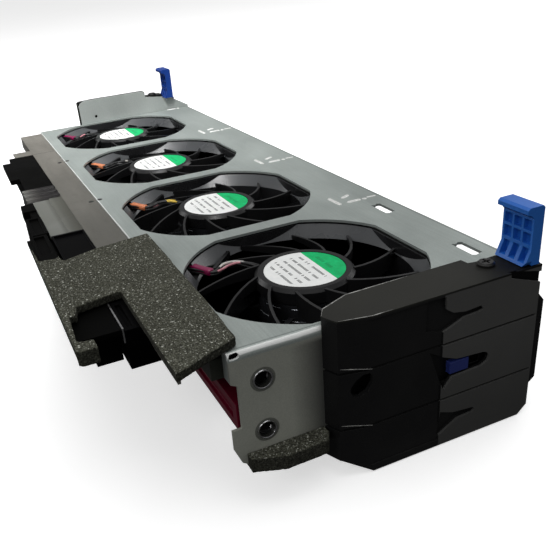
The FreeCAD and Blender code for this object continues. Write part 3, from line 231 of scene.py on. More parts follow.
def plate_metal():
    """The tray's sheet, with painted highlight lines along its sheared edges and bends, and painted shade at the cap
    and in the stud holes.
    """
    m = Mat("zinc_sheet_edges")
    cloud = m.noise(m.coords((9, 14, 14)), 1.6, 4.0, 0.6, 0.4)
    rolled = m.noise(m.coords((30, 1400, 1400)), 1.0, 2.0, 0.6)
    fine = m.noise(m.coords((1, 1, 1)), 2600.0, 1.5, 0.5)
    fac = m.math("ADD", m.math("MULTIPLY", cloud, 0.75), m.math("MULTIPLY", rolled, 0.35), clamp=True)
    x, y, z = m.sep(m.coords((1000.0, 1000.0, 1000.0), loc=(-147.0, -12.0, -62.0)))[:3]
    col = m.ramp(fac, [(0.30, srgb(150, 158, 155)), (0.75, srgb(182, 190, 186))])
    warm = m.ramp(fac, [(0.30, srgb(146, 148, 140)), (0.75, srgb(172, 174, 164))])
    wall = m.math("MULTIPLY", m.math("GREATER_THAN", x, 47.0), m.math("LESS_THAN", z, -3.0))
    col = m.mix(wall, col, warm)
    col = m.mix(m.rng(fine, 0.42, 0.62, 0.0, 0.12), col, (0.9, 0.9, 0.88, 1.0), "OVERLAY")
    wob = m.math("MULTIPLY", m.math("SUBTRACT", m.noise(m.coords((1, 1, 1)), 70.0, 2.0), 0.5), 0.5)
    yw = m.math("ADD", y, wob)
    xw = m.math("ADD", x, wob)
    top = m.math("GREATER_THAN", z, -1.4)
    # painted highlight: thin near-white lines along the rear edge, the ledge edge and the top of the fold down to the
    # near wall
    plate_edge_highlight = m.math("MULTIPLY", m.rng(yw, 70.3, 70.6, 0.0, 1.0), top)
    plate_edge_highlight = m.math("MAXIMUM", plate_edge_highlight, m.math("MULTIPLY", m.rng(yw, -53.35, -53.6, 0.0, 0.85), top))
    plate_edge_highlight = m.math("MAXIMUM", plate_edge_highlight, m.math("MULTIPLY", m.math("MULTIPLY", m.rng(xw, 46.9, 47.1, 0.0, 1.0), m.rng(xw, 48.15, 48.35, 1.0, 0.0)),
                                                   m.math("GREATER_THAN", z, -2.6)))
    # painted shade: darker bands just inside the rear edge and before the near-end fold
    dark = m.math("MULTIPLY", m.math("MULTIPLY", m.rng(yw, 69.1, 69.3, 0.0, 1.0), m.rng(yw, 69.9, 70.1, 1.0, 0.0)), top)
    dark = m.math("MAXIMUM", dark, m.math("MULTIPLY", m.math("MULTIPLY", m.rng(xw, 45.4, 45.7, 0.0, 1.0),
                                                             m.rng(xw, 46.2, 46.4, 1.0, 0.0)), top))
    col = m.mix(m.math("MULTIPLY", dark, 0.4), col, srgb(72, 76, 76))
    col = m.mix(m.math("MULTIPLY", plate_edge_highlight, 0.85), col, srgb(244, 245, 243))
    # painted shade on the wall where the cap covers it, and painted shade darkening the wall towards the cap's edge
    painted_shade_under_cap = m.math("MULTIPLY", m.math("MULTIPLY", m.math("GREATER_THAN", x, 48.3), m.rng(y, -15.8, -15.2, 0.0, 0.9)),
                   m.math("LESS_THAN", z, -2.6))
    near_cap = m.math("MULTIPLY", m.math("MULTIPLY", m.math("GREATER_THAN", x, 48.3), m.rng(y, -32.0, -20.0, 0.0, 0.80)),
                      m.rng(z, -3.0, -5.0, 0.0, 1.0))
    col = m.mix(near_cap, col, srgb(30, 30, 33))
    col = m.mix(painted_shade_under_cap, col, srgb(14, 14, 13))
    # painted shade: the two stud holes are painted near-black inside
    hz = m.math("SUBTRACT", m.math("ABSOLUTE", m.math("ADD", z, 23.45)), 10.45)
    hy = m.math("ADD", y, 42.4)
    painted_hole_shade = m.math("LESS_THAN", m.math("ADD", m.math("MULTIPLY", hy, hy), m.math("MULTIPLY", hz, hz)), 10.6)
    painted_hole_shade = m.math("MULTIPLY", painted_hole_shade, m.math("GREATER_THAN", x, 45.0))
    col = m.mix(m.math("MULTIPLY", painted_hole_shade, 0.94), col, srgb(10, 10, 11))
    m.set(Base_Color=col, Metallic=m.rng(m.math("MAXIMUM", plate_edge_highlight, wall), 0.0, 1.0, 0.42, 0.1),
          Roughness=m.rng(m.math("ADD", rolled, cloud), 0.6, 1.3, 0.40, 0.55))
    m.bump(m.math("ADD", m.math("MULTIPLY", rolled, 0.7), m.math("MULTIPLY", fine, 0.3)), 0.10, 0.0002)
    return m.m


MAT["plate"] = plate_metal()


def ledge_metal():
    """Duller, browner sheet, darker towards the foam."""
    m = Mat("ledge_sheet_metal")
    cloud = m.noise(m.coords((9, 30, 30)), 1.6, 4.0, 0.6, 0.4)
    fine = m.noise(m.coords((1, 1, 1)), 1300.0, 2.5, 0.7)
    dirt = m.noise(m.coords((1, 1, 1)), 210.0, 4.0, 0.7)
    x = m.sep(m.coords((1000.0, 1000.0, 1000.0), loc=(-147.0, -12.0, -62.0)))[0]
    col = m.ramp(m.math("ADD", m.math("MULTIPLY", cloud, 0.5), m.math("MULTIPLY", fine, 0.5)),
                 [(0.32, srgb(96, 93, 87)), (0.5, srgb(120, 117, 110)), (0.68, srgb(146, 143, 135))])
    col = m.mix(m.rng(x, -310.0, -110.0, 0.0, 0.55), col, srgb(76, 77, 72))
    col = m.mix(m.rng(dirt, 0.55, 0.75, 0.0, 0.35), col, srgb(74, 66, 58))
    m.set(Base_Color=col, Metallic=0.2, Roughness=m.rng(fine, 0.35, 0.65, 0.5, 0.65))
    m.bump(fine, 0.08, 0.0002)
    return m.m


MAT["ledge"] = ledge_metal()
MAT["bracket"] = sheet_metal("bracket_sheet_metal", srgb(150, 156, 153), srgb(178, 183, 180), 0.15, 0.45, 0.6, 0.08)
MAT["seat"] = sheet_metal("collar_seat_metal", srgb(92, 94, 88), srgb(112, 114, 107), 0.1, 0.5, 0.6, 0.08)
MAT["deep"] = moulded("connector_moulding", srgb(2, 2, 3), srgb(5, 5, 6), 0.45, 0.62, spec=0.03)
MAT["black"] = moulded("black_moulding", srgb(4, 4, 4), srgb(8, 8, 7), 0.45, 0.62, spec=0.025)
MAT["gloss"] = moulded("black_gloss_moulding", srgb(3, 3, 4), srgb(7, 7, 8), 0.25, 0.4, 0.05, spec=0.02)
MAT["grey"] = moulded("grey_moulding", srgb(82, 84, 80), srgb(112, 115, 110), 0.4, 0.6, spec=0.3)
MAT["cap"] = moulded("cap_moulding", srgb(9, 9, 9), srgb(17, 17, 16), 0.30, 0.44, 0.10, 2200.0, 0.32, 0.0, 0.10)
MAT["blue"] = moulded("blue_moulding", srgb(30, 96, 190), srgb(46, 120, 214), 0.3, 0.45, 0.10, spec=0.45)
# painted shade: a darker copy of the lever blue, used for the far lever
MAT["blue_far"] = moulded("blue_far_moulding", srgb(18, 54, 132), srgb(28, 72, 160), 0.34, 0.5, 0.10, spec=0.35)
# painted reflection: the housing's slanted faces get a lighter grey
MAT["fan"] = moulded("fan_moulding", srgb(24, 24, 25), srgb(44, 44, 46), 0.22, 0.36, 0.12, 1800.0, 0.5, 0.0, 0.12,
                     painted_bore_sheen=srgb(80, 82, 84))
MAT["rotor"] = moulded("rotor_moulding", srgb(26, 27, 29), srgb(44, 45, 48), 0.2, 0.34, 0.08, 1800.0, 0.5)
MAT["vane"] = moulded("vane_moulding", srgb(16, 16, 17), srgb(30, 30, 31), 0.24, 0.38, 0.12, 1800.0, 0.4)
MAT["plug"] = moulded("lead_plug_moulding", srgb(48, 52, 46), srgb(70, 74, 66), 0.35, 0.5, 0.08, spec=0.3)
MAT["burgundy"] = moulded("burgundy_moulding", srgb(120, 14, 62), srgb(158, 34, 96), 0.16, 0.26, 0.05, 1200.0, 0.5, 0.3)
MAT["grip"] = moulded("grip_moulding", srgb(84, 6, 26), srgb(124, 16, 48), 0.24, 0.36, 0.05, 1200.0, 0.35)
# painted highlight: a lit, orange copy of the burgundy clip moulding
MAT["orange"] = moulded("orange_moulding", srgb(206, 112, 66), srgb(234, 158, 116), 0.2, 0.3, 0.05, 1200.0, 0.5, 0.3)
MAT["white"] = moulded("white_moulding", srgb(206, 203, 192), srgb(226, 224, 216), 0.4, 0.5)
MAT["rubber"] = moulded("rubber_pad", srgb(16, 16, 16), srgb(26, 26, 25), 0.7, 0.85, spec=0.2)
MAT["screw"] = moulded("black_screw_steel", srgb(16, 16, 15), srgb(34, 33, 31), 0.28, 0.42, 0.08)
MAT["magnet"] = moulded("ferrite_magnet", srgb(40, 40, 42), srgb(60, 60, 62), 0.4, 0.6)


def zoned(name, zones, rough0, rough1, spec, bump=0.10, scale=2000.0):
    """Moulded plastic in zones: zones(m, x, y, z, big, small) gives its colour
    and roughness from plate millimetres."""
    m = Mat(name)
    big = m.noise(m.coords((1, 1, 1)), 26.0, 4.0, 0.6, 0.3)
    small = m.noise(m.coords((1, 1, 1)), scale, 2.0, 0.6)
    xyz = m.sep(m.coords((1000.0, 1000.0, 1000.0), loc=(-147.0, -12.0, -62.0)))
    grain = m.math("ADD", m.math("MULTIPLY", big, 0.7), m.math("MULTIPLY", small, 0.3))
    col, extra = zones(m, xyz[0], xyz[1], xyz[2], grain)
    rough = m.rng(big, 0.35, 0.65, rough0, rough1)
    if extra is not None:
        rough = m.math("ADD", rough, extra, clamp=True)
    m.set(Base_Color=col, Roughness=rough)
    m.b.inputs["Specular IOR Level"].default_value = spec
    m.bump(m.math("ADD", m.math("MULTIPLY", small, 0.8), m.math("MULTIPLY", big, 0.2)), bump, 0.0003)
    return m.m


def cap_zones(m, x, y, z, grain):
    """Gloss black, with a matt front panel and a duller lid."""
    gloss = m.ramp(grain, [(0.3, srgb(23, 23, 24)), (0.72, srgb(35, 35, 35))])
    matt = m.ramp(grain, [(0.3, srgb(76, 76, 75)), (0.72, srgb(86, 86, 85))])
    ax = m.math("ABSOLUTE", m.math("ADD", x, 147.0))
    face = m.math("MULTIPLY", m.math("GREATER_THAN", ax, 203.6),
                  m.math("MULTIPLY", m.math("GREATER_THAN", y, 24.35), m.math("LESS_THAN", z, 3.2)))
    # the panel darkens towards its lower edge
    matt = m.mix(m.rng(z, -58.0, -20.0, 0.45, 0.0), matt, srgb(50, 50, 49))
    col = m.mix(face, gloss, matt)
    lid = m.ramp(grain, [(0.3, srgb(34, 34, 31)), (0.72, srgb(48, 48, 44))])
    lid = m.mix(m.rng(y, 38.0, 58.0, 0.0, 0.85), lid, srgb(10, 10, 12))
    top = m.math("MULTIPLY", m.rng(z, 3.2, 3.7, 0.0, 1.0), m.math("LESS_THAN", z, 4.4))
    col = m.mix(top, col, lid)
    # the slot below the lever's tongue is in shade
    slot = m.math("MULTIPLY", m.math("MULTIPLY", m.math("GREATER_THAN", x, 56.2), m.math("LESS_THAN", x, 56.75)),
                  m.math("MULTIPLY", m.math("GREATER_THAN", y, 52.5), m.math("GREATER_THAN", z, -6.0)))
    col = m.mix(slot, col, srgb(3, 3, 3))
    return col, m.math("MULTIPLY", m.math("MAXIMUM", top, face), 0.30)


MAT["cap"] = zoned("cap_moulding", cap_zones, 0.24, 0.36, 0.16)


def latch_zones(m, x, y, z, grain):
    blue = m.ramp(grain, [(0.3, srgb(36, 46, 104)), (0.72, srgb(48, 62, 132))])
    ax = m.math("ABSOLUTE", m.math("ADD", x, 147.0))
    return m.mix(m.rng(ax, 201.65, 201.9, 0.0, 1.0), srgb(6, 6, 7), blue), None


MAT["far_cap"] = moulded("far_cap_moulding", srgb(10, 10, 10), srgb(20, 20, 19), 0.30, 0.42, 0.10, 2200.0, 0.3)
MAT["latch"] = zoned("latch_moulding", latch_zones, 0.34, 0.5, 0.3)


def strap_zones(m, x, y, z, grain):
    col = m.ramp(m.rng(y, -89.0, -70.0, 0.0, 1.0),
                 [(0.0, srgb(112, 112, 108)), (0.3, srgb(66, 64, 61)), (0.5, srgb(28, 26, 26)), (1.0, srgb(20, 18, 18))])
    col = m.mix(m.rng(grain, 0.42, 0.6, 0.0, 0.3), col, srgb(40, 35, 34))
    low = m.rng(z, -0.6, 0.5, 0.75, 0.0)
    return m.mix(low, col, srgb(14, 14, 14)), None


MAT["strap"] = zoned("strap_film", strap_zones, 0.3, 0.42, 0.2)


def panel_zones(m, x, y, z, grain):
    col = m.ramp(m.rng(y, -86.0, -70.0, 0.0, 1.0),
                 [(0.0, srgb(114, 116, 111)), (0.40, srgb(118, 120, 115)), (0.50, srgb(96, 97, 92)),
                  (0.60, srgb(102, 103, 97)), (0.72, srgb(86, 87, 81)), (0.84, srgb(80, 80, 73)),
                  (1.0, srgb(68, 68, 61))])
    return m.mix(m.rng(grain, 0.4, 0.6, 0.0, 0.25), col, srgb(88, 88, 80)), None


MAT["panel"] = zoned("panel_moulding", panel_zones, 0.4, 0.55, 0.3)


def bright_steel():
    m = Mat("bright_steel")
    g = m.noise(m.coords((1, 1, 1)), 900.0, 2.0)
    m.set(Base_Color=m.ramp(g, [(0.3, srgb(168, 168, 170)), (0.7, srgb(205, 205, 206))]), Metallic=1.0,
          Roughness=m.rng(g, 0.3, 0.7, 0.16, 0.3))
    m.bump(g, 0.05, 0.0001)
    return m.m


MAT["steel"] = bright_steel()


def copper():
    m = Mat("enamelled_copper")
    v = m.sep(m.coords((1, 1, 1)))
    turns = m.math("SINE", m.math("MULTIPLY", v[2], 9000.0))
    g = m.noise(m.coords((1, 1, 1)), 500.0, 3.0)
    m.set(Base_Color=m.ramp(m.math("ADD", m.math("MULTIPLY", turns, 0.25), g),
                            [(0.2, srgb(96, 44, 18)), (0.8, srgb(196, 112, 56))]),
          Metallic=0.85, Roughness=m.rng(g, 0.3, 0.7, 0.3, 0.45))
    m.bump(turns, 0.3, 0.0002)
    return m.m


MAT["copper"] = copper()


def foam_material():
    """Open-cell conductive foam: dark pores and metallised cell tips, painted as bright highlights mostly on up-facing
    skin, with painted shade where the skin faces sideways or down.
    """
    m = Mat("speckled_foam")
    o = m.coords((1, 1, 1))
    pores = m.voronoi(o, 1100.0)
    cloud = m.noise(o, 60.0, 3.0)
    mid = m.noise(m.coords((1, 1, 1), loc=(0.2, 0.5, 0.1)), 420.0, 3.0, 0.65)
    fine = m.noise(o, 1700.0, 2.0, 0.7)
    grit = m.noise(m.coords((1, 1, 1), loc=(0.7, 0.1, 0.3)), 1000.0, 3.0, 0.8)
    fac = m.math("ADD", m.math("ADD", m.math("MULTIPLY", fine, 0.40), m.math("MULTIPLY", grit, 0.45)),
                 m.math("MULTIPLY", m.math("ADD", mid, cloud), 0.075))
    col = m.ramp(fac, [(0.36, srgb(26, 27, 22)), (0.47, srgb(58, 58, 50)), (0.56, srgb(87, 88, 77)),
                       (0.66, srgb(136, 137, 124))])
    col = m.mix(m.rng(pores, 0.12, 0.40, 0.5, 0.0), col, srgb(16, 16, 14))
    geo = m.n.new("ShaderNodeNewGeometry")
    # painted shade: skin that does not face up is darkened; the cell tips are painted as highlights mainly where the
    # skin faces up
    up = m.rng(m.sep(geo.outputs["Normal"])[2], 0.25, 0.75, 0.0, 1.0)
    col = m.mix(m.rng(up, 0.0, 1.0, 0.5, 0.0), col, srgb(20, 20, 18))
    tips = None
    for off, sc, lo in (((0.9, 0.4, 0.2), 620.0, 0.55), ((0.1, 0.7, 0.6), 900.0, 0.45), ((0.5, 0.2, 0.8), 1300.0, 0.4)):
        rnd = m.sep(m.voronoi(m.coords((1, 1, 1), loc=off), sc, out="Color"))
        pick = m.math("MULTIPLY", m.rng(rnd[0], lo, lo + 0.02, 0.0, 1.0),
                      m.rng(m.math("POWER", rnd[1], 2.4), 0.0, 1.0, 0.10, 0.9))
        dot = m.rng(m.voronoi(m.coords((1, 1, 1), loc=off), sc), 0.14, 0.30, 1.0, 0.0)
        one = m.math("MULTIPLY", pick, dot)
        tips = one if tips is None else m.math("ADD", tips, one, clamp=True)
    tips = m.math("MULTIPLY", tips, m.rng(up, 0.0, 1.0, 0.12, 1.0))
    col = m.mix(m.math("MULTIPLY", tips, 0.86), col, srgb(236, 238, 226))
    m.set(Base_Color=col, Roughness=m.rng(tips, 0.0, 1.0, 0.95, 0.5))
    m.b.inputs["Specular IOR Level"].default_value = 0.15
    m.bump(m.math("ADD", m.math("MULTIPLY", pores, 0.6), m.math("MULTIPLY", fine, 0.5)), 0.6, 0.0005)
    return m.m


MAT["foam"] = foam_material()


def label_material():
    """Hub label: white film with a green segment and plain ruled print."""
    m = Mat("hub_label_film")
    # plate millimetres, folded at the fan pitch so that every hub is at 0, 0
    v = m.coords((1000.0, 1000.0, 1000.0), loc=(-147.0, -12.0, -62.0))
    xyz = m.sep(v)
    x = m.math("MULTIPLY", m.math("SUBTRACT", m.math("FRACT", m.math(
        "ADD", m.math("DIVIDE", xyz[0], 98.0), 20.5)), 0.5), 98.0)
    y = xyz[1]
    fibre = m.noise(m.coords((1, 1, 1)), 300.0, 3.0)
    white = m.ramp(fibre, [(0.3, srgb(244, 246, 245)), (0.7, srgb(253, 254, 252))])
    green = m.ramp(fibre, [(0.3, srgb(6, 176, 100)), (0.7, srgb(12, 204, 122))])
    # rows of short bars stand for the small print
    def rows(y0, pitch, height, x0, x1, cell, seed, fill):
        ry = m.math("DIVIDE", m.math("SUBTRACT", y, y0), pitch)
        band = m.math("LESS_THAN", m.math("ABSOLUTE", m.math("SUBTRACT", m.math("FRACT", ry), 0.5)),
                      height / pitch / 2.0)
        cx = m.math("MULTIPLY", x, 1.0 / cell)
        comb = m.n.new("ShaderNodeCombineXYZ")
        m.l.new(m.math("FLOOR", cx), comb.inputs[0])
        m.l.new(m.math("FLOOR", ry), comb.inputs[1])
        comb.inputs[2].default_value = seed
        wn = m.n.new("ShaderNodeTexWhiteNoise")
        wn.noise_dimensions = "3D"
        m.l.new(comb.outputs[0], wn.inputs["Vector"])
        on = m.math("LESS_THAN", wn.outputs["Value"], fill)
        gap = m.math("LESS_THAN", m.math("ABSOLUTE", m.math("SUBTRACT", m.math("FRACT", cx), 0.5)), 0.36)
        inx = m.math("MULTIPLY", m.math("GREATER_THAN", x, x0), m.math("LESS_THAN", x, x1))
        return m.math("MULTIPLY", m.math("MULTIPLY", band, on), m.math("MULTIPLY", gap, inx))
    bars = rows(-12.6, 3.6, 1.15, -12.5, 11.0, 0.95, 3.0, 0.72)
    below = m.math("MULTIPLY", m.math("LESS_THAN", y, 4.6), m.math("GREATER_THAN", y, -12.6))
    r2 = m.math("ADD", m.math("MULTIPLY", x, x), m.math("MULTIPLY", y, y))
    inside = m.math("LESS_THAN", r2, 14.4 * 14.4)
    ink = m.math("MULTIPLY", m.math("MULTIPLY", bars, below), inside)
    seg = m.math("GREATER_THAN", y, 6.3)
    col = m.mix(seg, white, green)
    gbars = rows(8.2, 3.0, 1.5, -7.5, 7.5, 1.3, 9.0, 0.8)
    gin = m.math("MULTIPLY", m.math("LESS_THAN", y, 11.2), m.math("GREATER_THAN", y, 8.2))
    col = m.mix(m.math("MULTIPLY", m.math("MULTIPLY", gbars, gin), 0.55), col, srgb(4, 128, 74))
    col = m.mix(m.math("MULTIPLY", ink, 0.85), col, srgb(34, 38, 40))
    m.set(Base_Color=col, Roughness=m.rng(fibre, 0.3, 0.7, 0.42, 0.55))
    m.b.inputs["Specular IOR Level"].default_value = 0.2
    m.bump(fibre, 0.03, 0.0001)
    return m.m


MAT["label"] = label_material()


def wire_mat(name, a, b):
    m = Mat(name)
    g = m.noise(m.coords((1, 1, 1)), 420.0, 2.0)
    m.set(Base_Color=m.ramp(g, [(0.3, a), (0.7, b)]), Roughness=m.rng(g, 0.3, 0.7, 0.3, 0.42))
    m.bump(g, 0.05, 0.0002)
    return m.m


MAT["w_white"] = wire_mat("wire_white", srgb(206, 202, 196), srgb(226, 223, 218))
MAT["w_pink"] = wire_mat("wire_pink", srgb(196, 122, 134), srgb(222, 158, 166))
MAT["w_yellow"] = wire_mat("wire_yellow", srgb(206, 168, 52), srgb(226, 196, 84))
MAT["w_black"] = wire_mat("wire_black", srgb(22, 22, 23), srgb(34, 34, 35))

# ------------------------------------------------------------- piece builders
def set_mat(obj, mat):
    obj.data.materials.clear()
    obj.data.materials.append(mat)


def smooth(me, deg=38.0):
    me.polygons.foreach_set("use_smooth", [True] * len(me.polygons))
    me.set_sharp_from_angle(angle=math.radians(deg))


def link(name, me):
    o = bpy.data.objects.new(name, me)
    scene.collection.objects.link(o)
    return o


def baked(o):
    """Applies a piece's modifiers to its mesh."""
    dg = bpy.context.evaluated_depsgraph_get()
    me = bpy.data.meshes.new_from_object(o.evaluated_get(dg))
    o.modifiers.clear()
    o.data = me
    return o


def softened(node, name, mat, width=0.0003, segs=2, angle=32.0, body="tray"):
    """The CAD solid's shape with rounded edges, standing for the CAD node."""
    src = NODES[node]
    me = src.data.copy()
    me.materials.clear()
    me.materials.append(mat)
    o = link(name, me)
    bm = bmesh.new()
    bm.from_mesh(me)
    bmesh.ops.remove_doubles(bm, verts=bm.verts, dist=1e-6)
    bmesh.ops.dissolve_limit(bm, angle_limit=math.radians(0.8), verts=bm.verts, edges=bm.edges,
                             use_dissolve_boundaries=False)
    bm.normal_update()
    bm.to_mesh(me)
    bm.free()
    me.polygons.foreach_set("use_smooth", [True] * len(me.polygons))
    bv = o.modifiers.new("bevel", "BEVEL")
    bv.width = width
    bv.segments = segs
    bv.limit_method = "ANGLE"
    bv.angle_limit = math.radians(angle)
    bv.use_clamp_overlap = True
    bv.miter_outer = "MITER_SHARP"
    wn = o.modifiers.new("normals", "WEIGHTED_NORMAL")
    wn.weight = 100
    wn.keep_sharp = False
    baked(o)
    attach(o, body)
    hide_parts(node)
    return o


def keep(node, mat):
    set_mat(NODES[node], mat)


# ------------------------------------------------------------------ CAD nodes
softened("fan_cage", "cage_sheet", MAT["plate"], 0.00018)
keep("bottom_tray", MAT["zinc"])
softened("side_ledge", "ledge_strip", MAT["ledge"], 0.00015)
softened("far_bracket", "bracket_plate", MAT["bracket"], 0.00015)
softened("duct_base", "duct_channel", MAT["black"], 0.0002)
softened("duct_cover_far", "duct_cover_a", MAT["black"], 0.0003)
softened("side_connectors", "connector_bodies", MAT["black"], 0.0003)
softened("bay_connector", "bay_connector_body", MAT["deep"], 0.0003)
softened("duct_cover_near", "duct_cover_b", MAT["gloss"], 0.0003)
softened("duct_panel", "duct_panel_plate", MAT["panel"], 0.0003)
softened("harness_strap", "harness_strap_band", MAT["strap"], 0.0006)
for n in ("bay_connector_shell", "lever_pins", "fan_bearings"):
    keep(n, MAT["steel"])
keep("harness_wires", MAT["w_black"])
keep("cap_screws", MAT["screw"])
keep("fan_plugs", MAT["plug"])
keep("fan_isolators", MAT["rubber"])
softened("near_latch", "near_latch_bar", MAT["latch"], 0.0003, body="near_latch_slide")
softened("far_latch", "far_latch_bar", MAT["latch"], 0.0003, body="far_latch_slide")
softened("near_cap", "near_cap_moulding", MAT["cap"], 0.0004)
softened("far_cap", "far_cap_moulding", MAT["far_cap"], 0.0004)
softened("near_lever", "near_lever_moulding", MAT["blue"], 0.0003, body="near_lever_arm")
softened("far_lever", "far_lever_moulding", MAT["blue_far"], 0.0003, body="far_lever_arm")
for k in range(1, 5):
    softened("fan_%d_frame" % k, "fan_%d_housing" % k, MAT["fan"], 0.00025)
    if "fan_%d_vanes" % k in NODES:
        softened("fan_%d_vanes" % k, "fan_%d_guide_vanes" % k, MAT["vane"], 0.00016)
    keep("fan_%d_rotor" % k, MAT["rotor"])
    keep("fan_%d_magnet" % k, MAT["magnet"])
    keep("fan_%d_shaft" % k, MAT["steel"])
    keep("fan_%d_stator" % k, MAT["copper"])
    softened("fan_%d_grip" % k, "fan_%d_grip_bar" % k, MAT["grip"], 0.0005)
    if "fan_%d_label" % k in NODES:
        keep("fan_%d_label" % k, MAT["label"])
if "fan_labels" in NODES:
    keep("fan_labels", MAT["label"])

# ----------------------------------------------------------------------- foam
def foam_piece(node, name, voxel, depth, seed):
    """The CAD solid's outline as cut foam: pitted skin and slightly torn edges."""
    me = NODES[node].data.copy()
    me.materials.clear()
    me.materials.append(MAT["foam"])
    o = link(name, me)
    rm = o.modifiers.new("remesh", "REMESH")
    rm.mode = "VOXEL"
    rm.voxel_size = voxel
    rm.adaptivity = 0.0
    baked(o)
    me = o.data
    me.materials.clear()
    me.materials.append(MAT["foam"])
    normals = [v.normal.copy() for v in me.vertices]
    shift = Vector((seed * 3.1, seed * 1.7, seed * 0.9))
    for v, nrm in zip(me.vertices, normals):
        p = v.co * 1000.0 + shift
        cell = noise.voronoi(p * 0.85)[0][0]
        pit = max(0.0, 0.55 - cell) * 0.9
        rough = 0.5 + 0.5 * noise.noise(p * 1.3)
        swell = 0.5 + 0.5 * noise.noise(p * 0.11)
        d = depth * (0.55 * pit + 0.30 * rough + 0.35 * swell)
        v.co -= nrm * d
    me.polygons.foreach_set("use_smooth", [True] * len(me.polygons))
    me.update()
    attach(o, "tray")
    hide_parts(node)
    return o


foam_piece("foam_top", "foam_strip", 0.00062, 0.00042, 1.0)
foam_piece("foam_bottom", "foam_pads", 0.00075, 0.0005, 2.0)


# ---------------------------------------------------------------------- leads
def fan_place(k, x, y, z):
    return P(FAN_X[k - 1] + x, y, z - 40.0)


ROUTE = [(-15.85, -13.35, 35.7), (-20.6, -15.6, 35.9), (-25.4, -19.4, 36.0), (-26.0, -24.0, 35.9), (-22.9, -27.6, 35.8),
         (-21.6, -30.8, 35.6), (-24.2, -33.4, 35.5), (-29.6, -36.8, 35.5), (-33.6, -41.6, 35.5), (-34.6, -47.0, 35.2),
         (-32.0, -52.4, 34.6), (-25.2, -54.7, 33.3), (-15.5, -54.2, 31.5), (-4.0, -54.5, 29.9), (7.5, -53.9, 29.2),
         (17.2, -54.2, 29.0), (26.0, -54.2, 29.0)]


def chaikin(pts, times):
    for _ in range(times):
        out = [pts[0]]
        for a, b in zip(pts, pts[1:]):
            out += [a * 0.75 + b * 0.25, a * 0.25 + b * 0.75]
        out.append(pts[-1])
        pts = out
    return pts


def wire(name, k, index, mats, spans, rad=0.00052):
    """One insulated wire of a fan's lead; spans give (start, material number) along its run, the rest painted black as
    shade."""
    rnd = random.Random(100 * k + index)
    dy = (-0.5 if index % 2 else 0.5) * 1.25
    dz = (-0.5 if index // 2 else 0.5) * 1.25
    ctl = []
    for i, (x, y, z) in enumerate(ROUTE):
        a = ROUTE[max(0, i - 1)]
        b = ROUTE[min(len(ROUTE) - 1, i + 1)]
        ux, uy = b[0] - a[0], b[1] - a[1]
        L = math.hypot(ux, uy)
        loose = 0.9 if 0 < i < 5 else 0.15
        jx, jy, jz = (rnd.uniform(-loose, loose) for _ in range(3))
        jz = min(jz, 0.3) if i < 6 else jz * 0.3
        ctl.append(Vector(fan_place(k, x - uy / L * dy + jx, y + ux / L * dy + jy, z + dz + jz)))
    pts = chaikin(ctl, 4)
    run = [0.0]
    for a, b in zip(pts, pts[1:]):
        run.append(run[-1] + (b - a).length * 1000.0)
    cd = bpy.data.curves.new(name, "CURVE")
    cd.dimensions = "3D"
    cd.bevel_depth = rad
    cd.bevel_resolution = 4
    cd.use_fill_caps = True
    for m in mats:
        cd.materials.append(m)
    marks = list(spans) + [(1e9, 0)]
    for (s0, mi), (s1, _) in zip(marks, marks[1:]):
        part = [q for q, r in zip(pts, run) if s0 - 0.35 <= r <= s1 + 0.35]
        if len(part) < 2:
            continue
        sp = cd.splines.new("POLY")
        sp.points.add(len(part) - 1)
        for q, v in zip(sp.points, part):
            q.co = (*v, 1.0)
        sp.material_index = mi
        sp.use_smooth = True
    o = bpy.data.objects.new(name, cd)
    scene.collection.objects.link(o)
    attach(o, "tray")
    return o


# lengths in mm from the hub: which wires show their colour, and where; elsewhere each wire is painted black as shade
SHOWN = {4: ((("w_pink", 9.0, 21.5),), (("w_white", 8.0, 20.5),), (), (("w_white", 15.0, 19.0),)),
         3: ((("w_yellow", 4.0, 10.0),), (("w_yellow", 5.5, 12.0),), (), (("w_pink", 17.0, 21.0),)),
         2: ((), (("w_white", 6.5, 8.6),), (), (("w_pink", 18.0, 21.0),)),
         1: ((("w_pink", 14.0, 20.0),), (), (), ())}
for k in range(1, 5):
    for i in range(4):
        names = ["w_black"]
        spans = [(0.0, 0)]
        for mat_name, s0, s1 in SHOWN[k][i]:
            names.append(mat_name)
            spans += [(s0, len(names) - 1), (s1, 0)]
        wire("fan_%d_wire_%d" % (k, i + 1), k, i, [MAT[n] for n in names], spans)
    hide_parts("fan_%d_leads" % k)


def sleeve(name, k, mat):
    """The moulded clip that leads a fan's wires out through the corner."""
    a, b = Vector((-22.6, -32.0, 36.0)), Vector((-33.2, -37.4, 36.0))
    d = (b - a).normalized()
    n = Vector((-d.y, d.x, 0.0))
    bm = bmesh.new()
    prof = []
    half, low, high = 1.75, -1.6, 1.25
    for i in range(14):
        t = 2 * math.pi * i / 14
        c, sn = math.cos(t), math.sin(t)
        u = half * (abs(c) ** 0.55) * (1 if c >= 0 else -1)
        w = (high if sn >= 0 else -low) * (abs(sn) ** 0.55) * (1 if sn >= 0 else -1)
        prof.append((u, w))
    rings = []
    stations = [(0.0, 0.80), (0.25, 0.95), (0.9, 1.0), (5.0, 0.97), (9.5, 1.0), (11.4, 1.0), (11.9, 0.85)]
    for t, sc in stations:
        c = a + d * t
        rings.append([bm.verts.new(fan_place(k, *(c + n * (u * sc) + Vector((0, 0, w * sc))))) for u, w in prof])
    for r0, r1 in zip(rings, rings[1:]):
        for i in range(14):
            j = (i + 1) % 14
            bm.faces.new((r0[i], r0[j], r1[j], r1[i]))
    bm.faces.new(rings[0][::-1])
    bm.faces.new(rings[-1])
    bmesh.ops.recalc_face_normals(bm, faces=bm.faces)
    me = bpy.data.meshes.new(name)
    bm.to_mesh(me)
    bm.free()
    me.materials.append(mat)
    smooth(me, 50)
    o = link(name, me)
    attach(o, "tray")
    return o


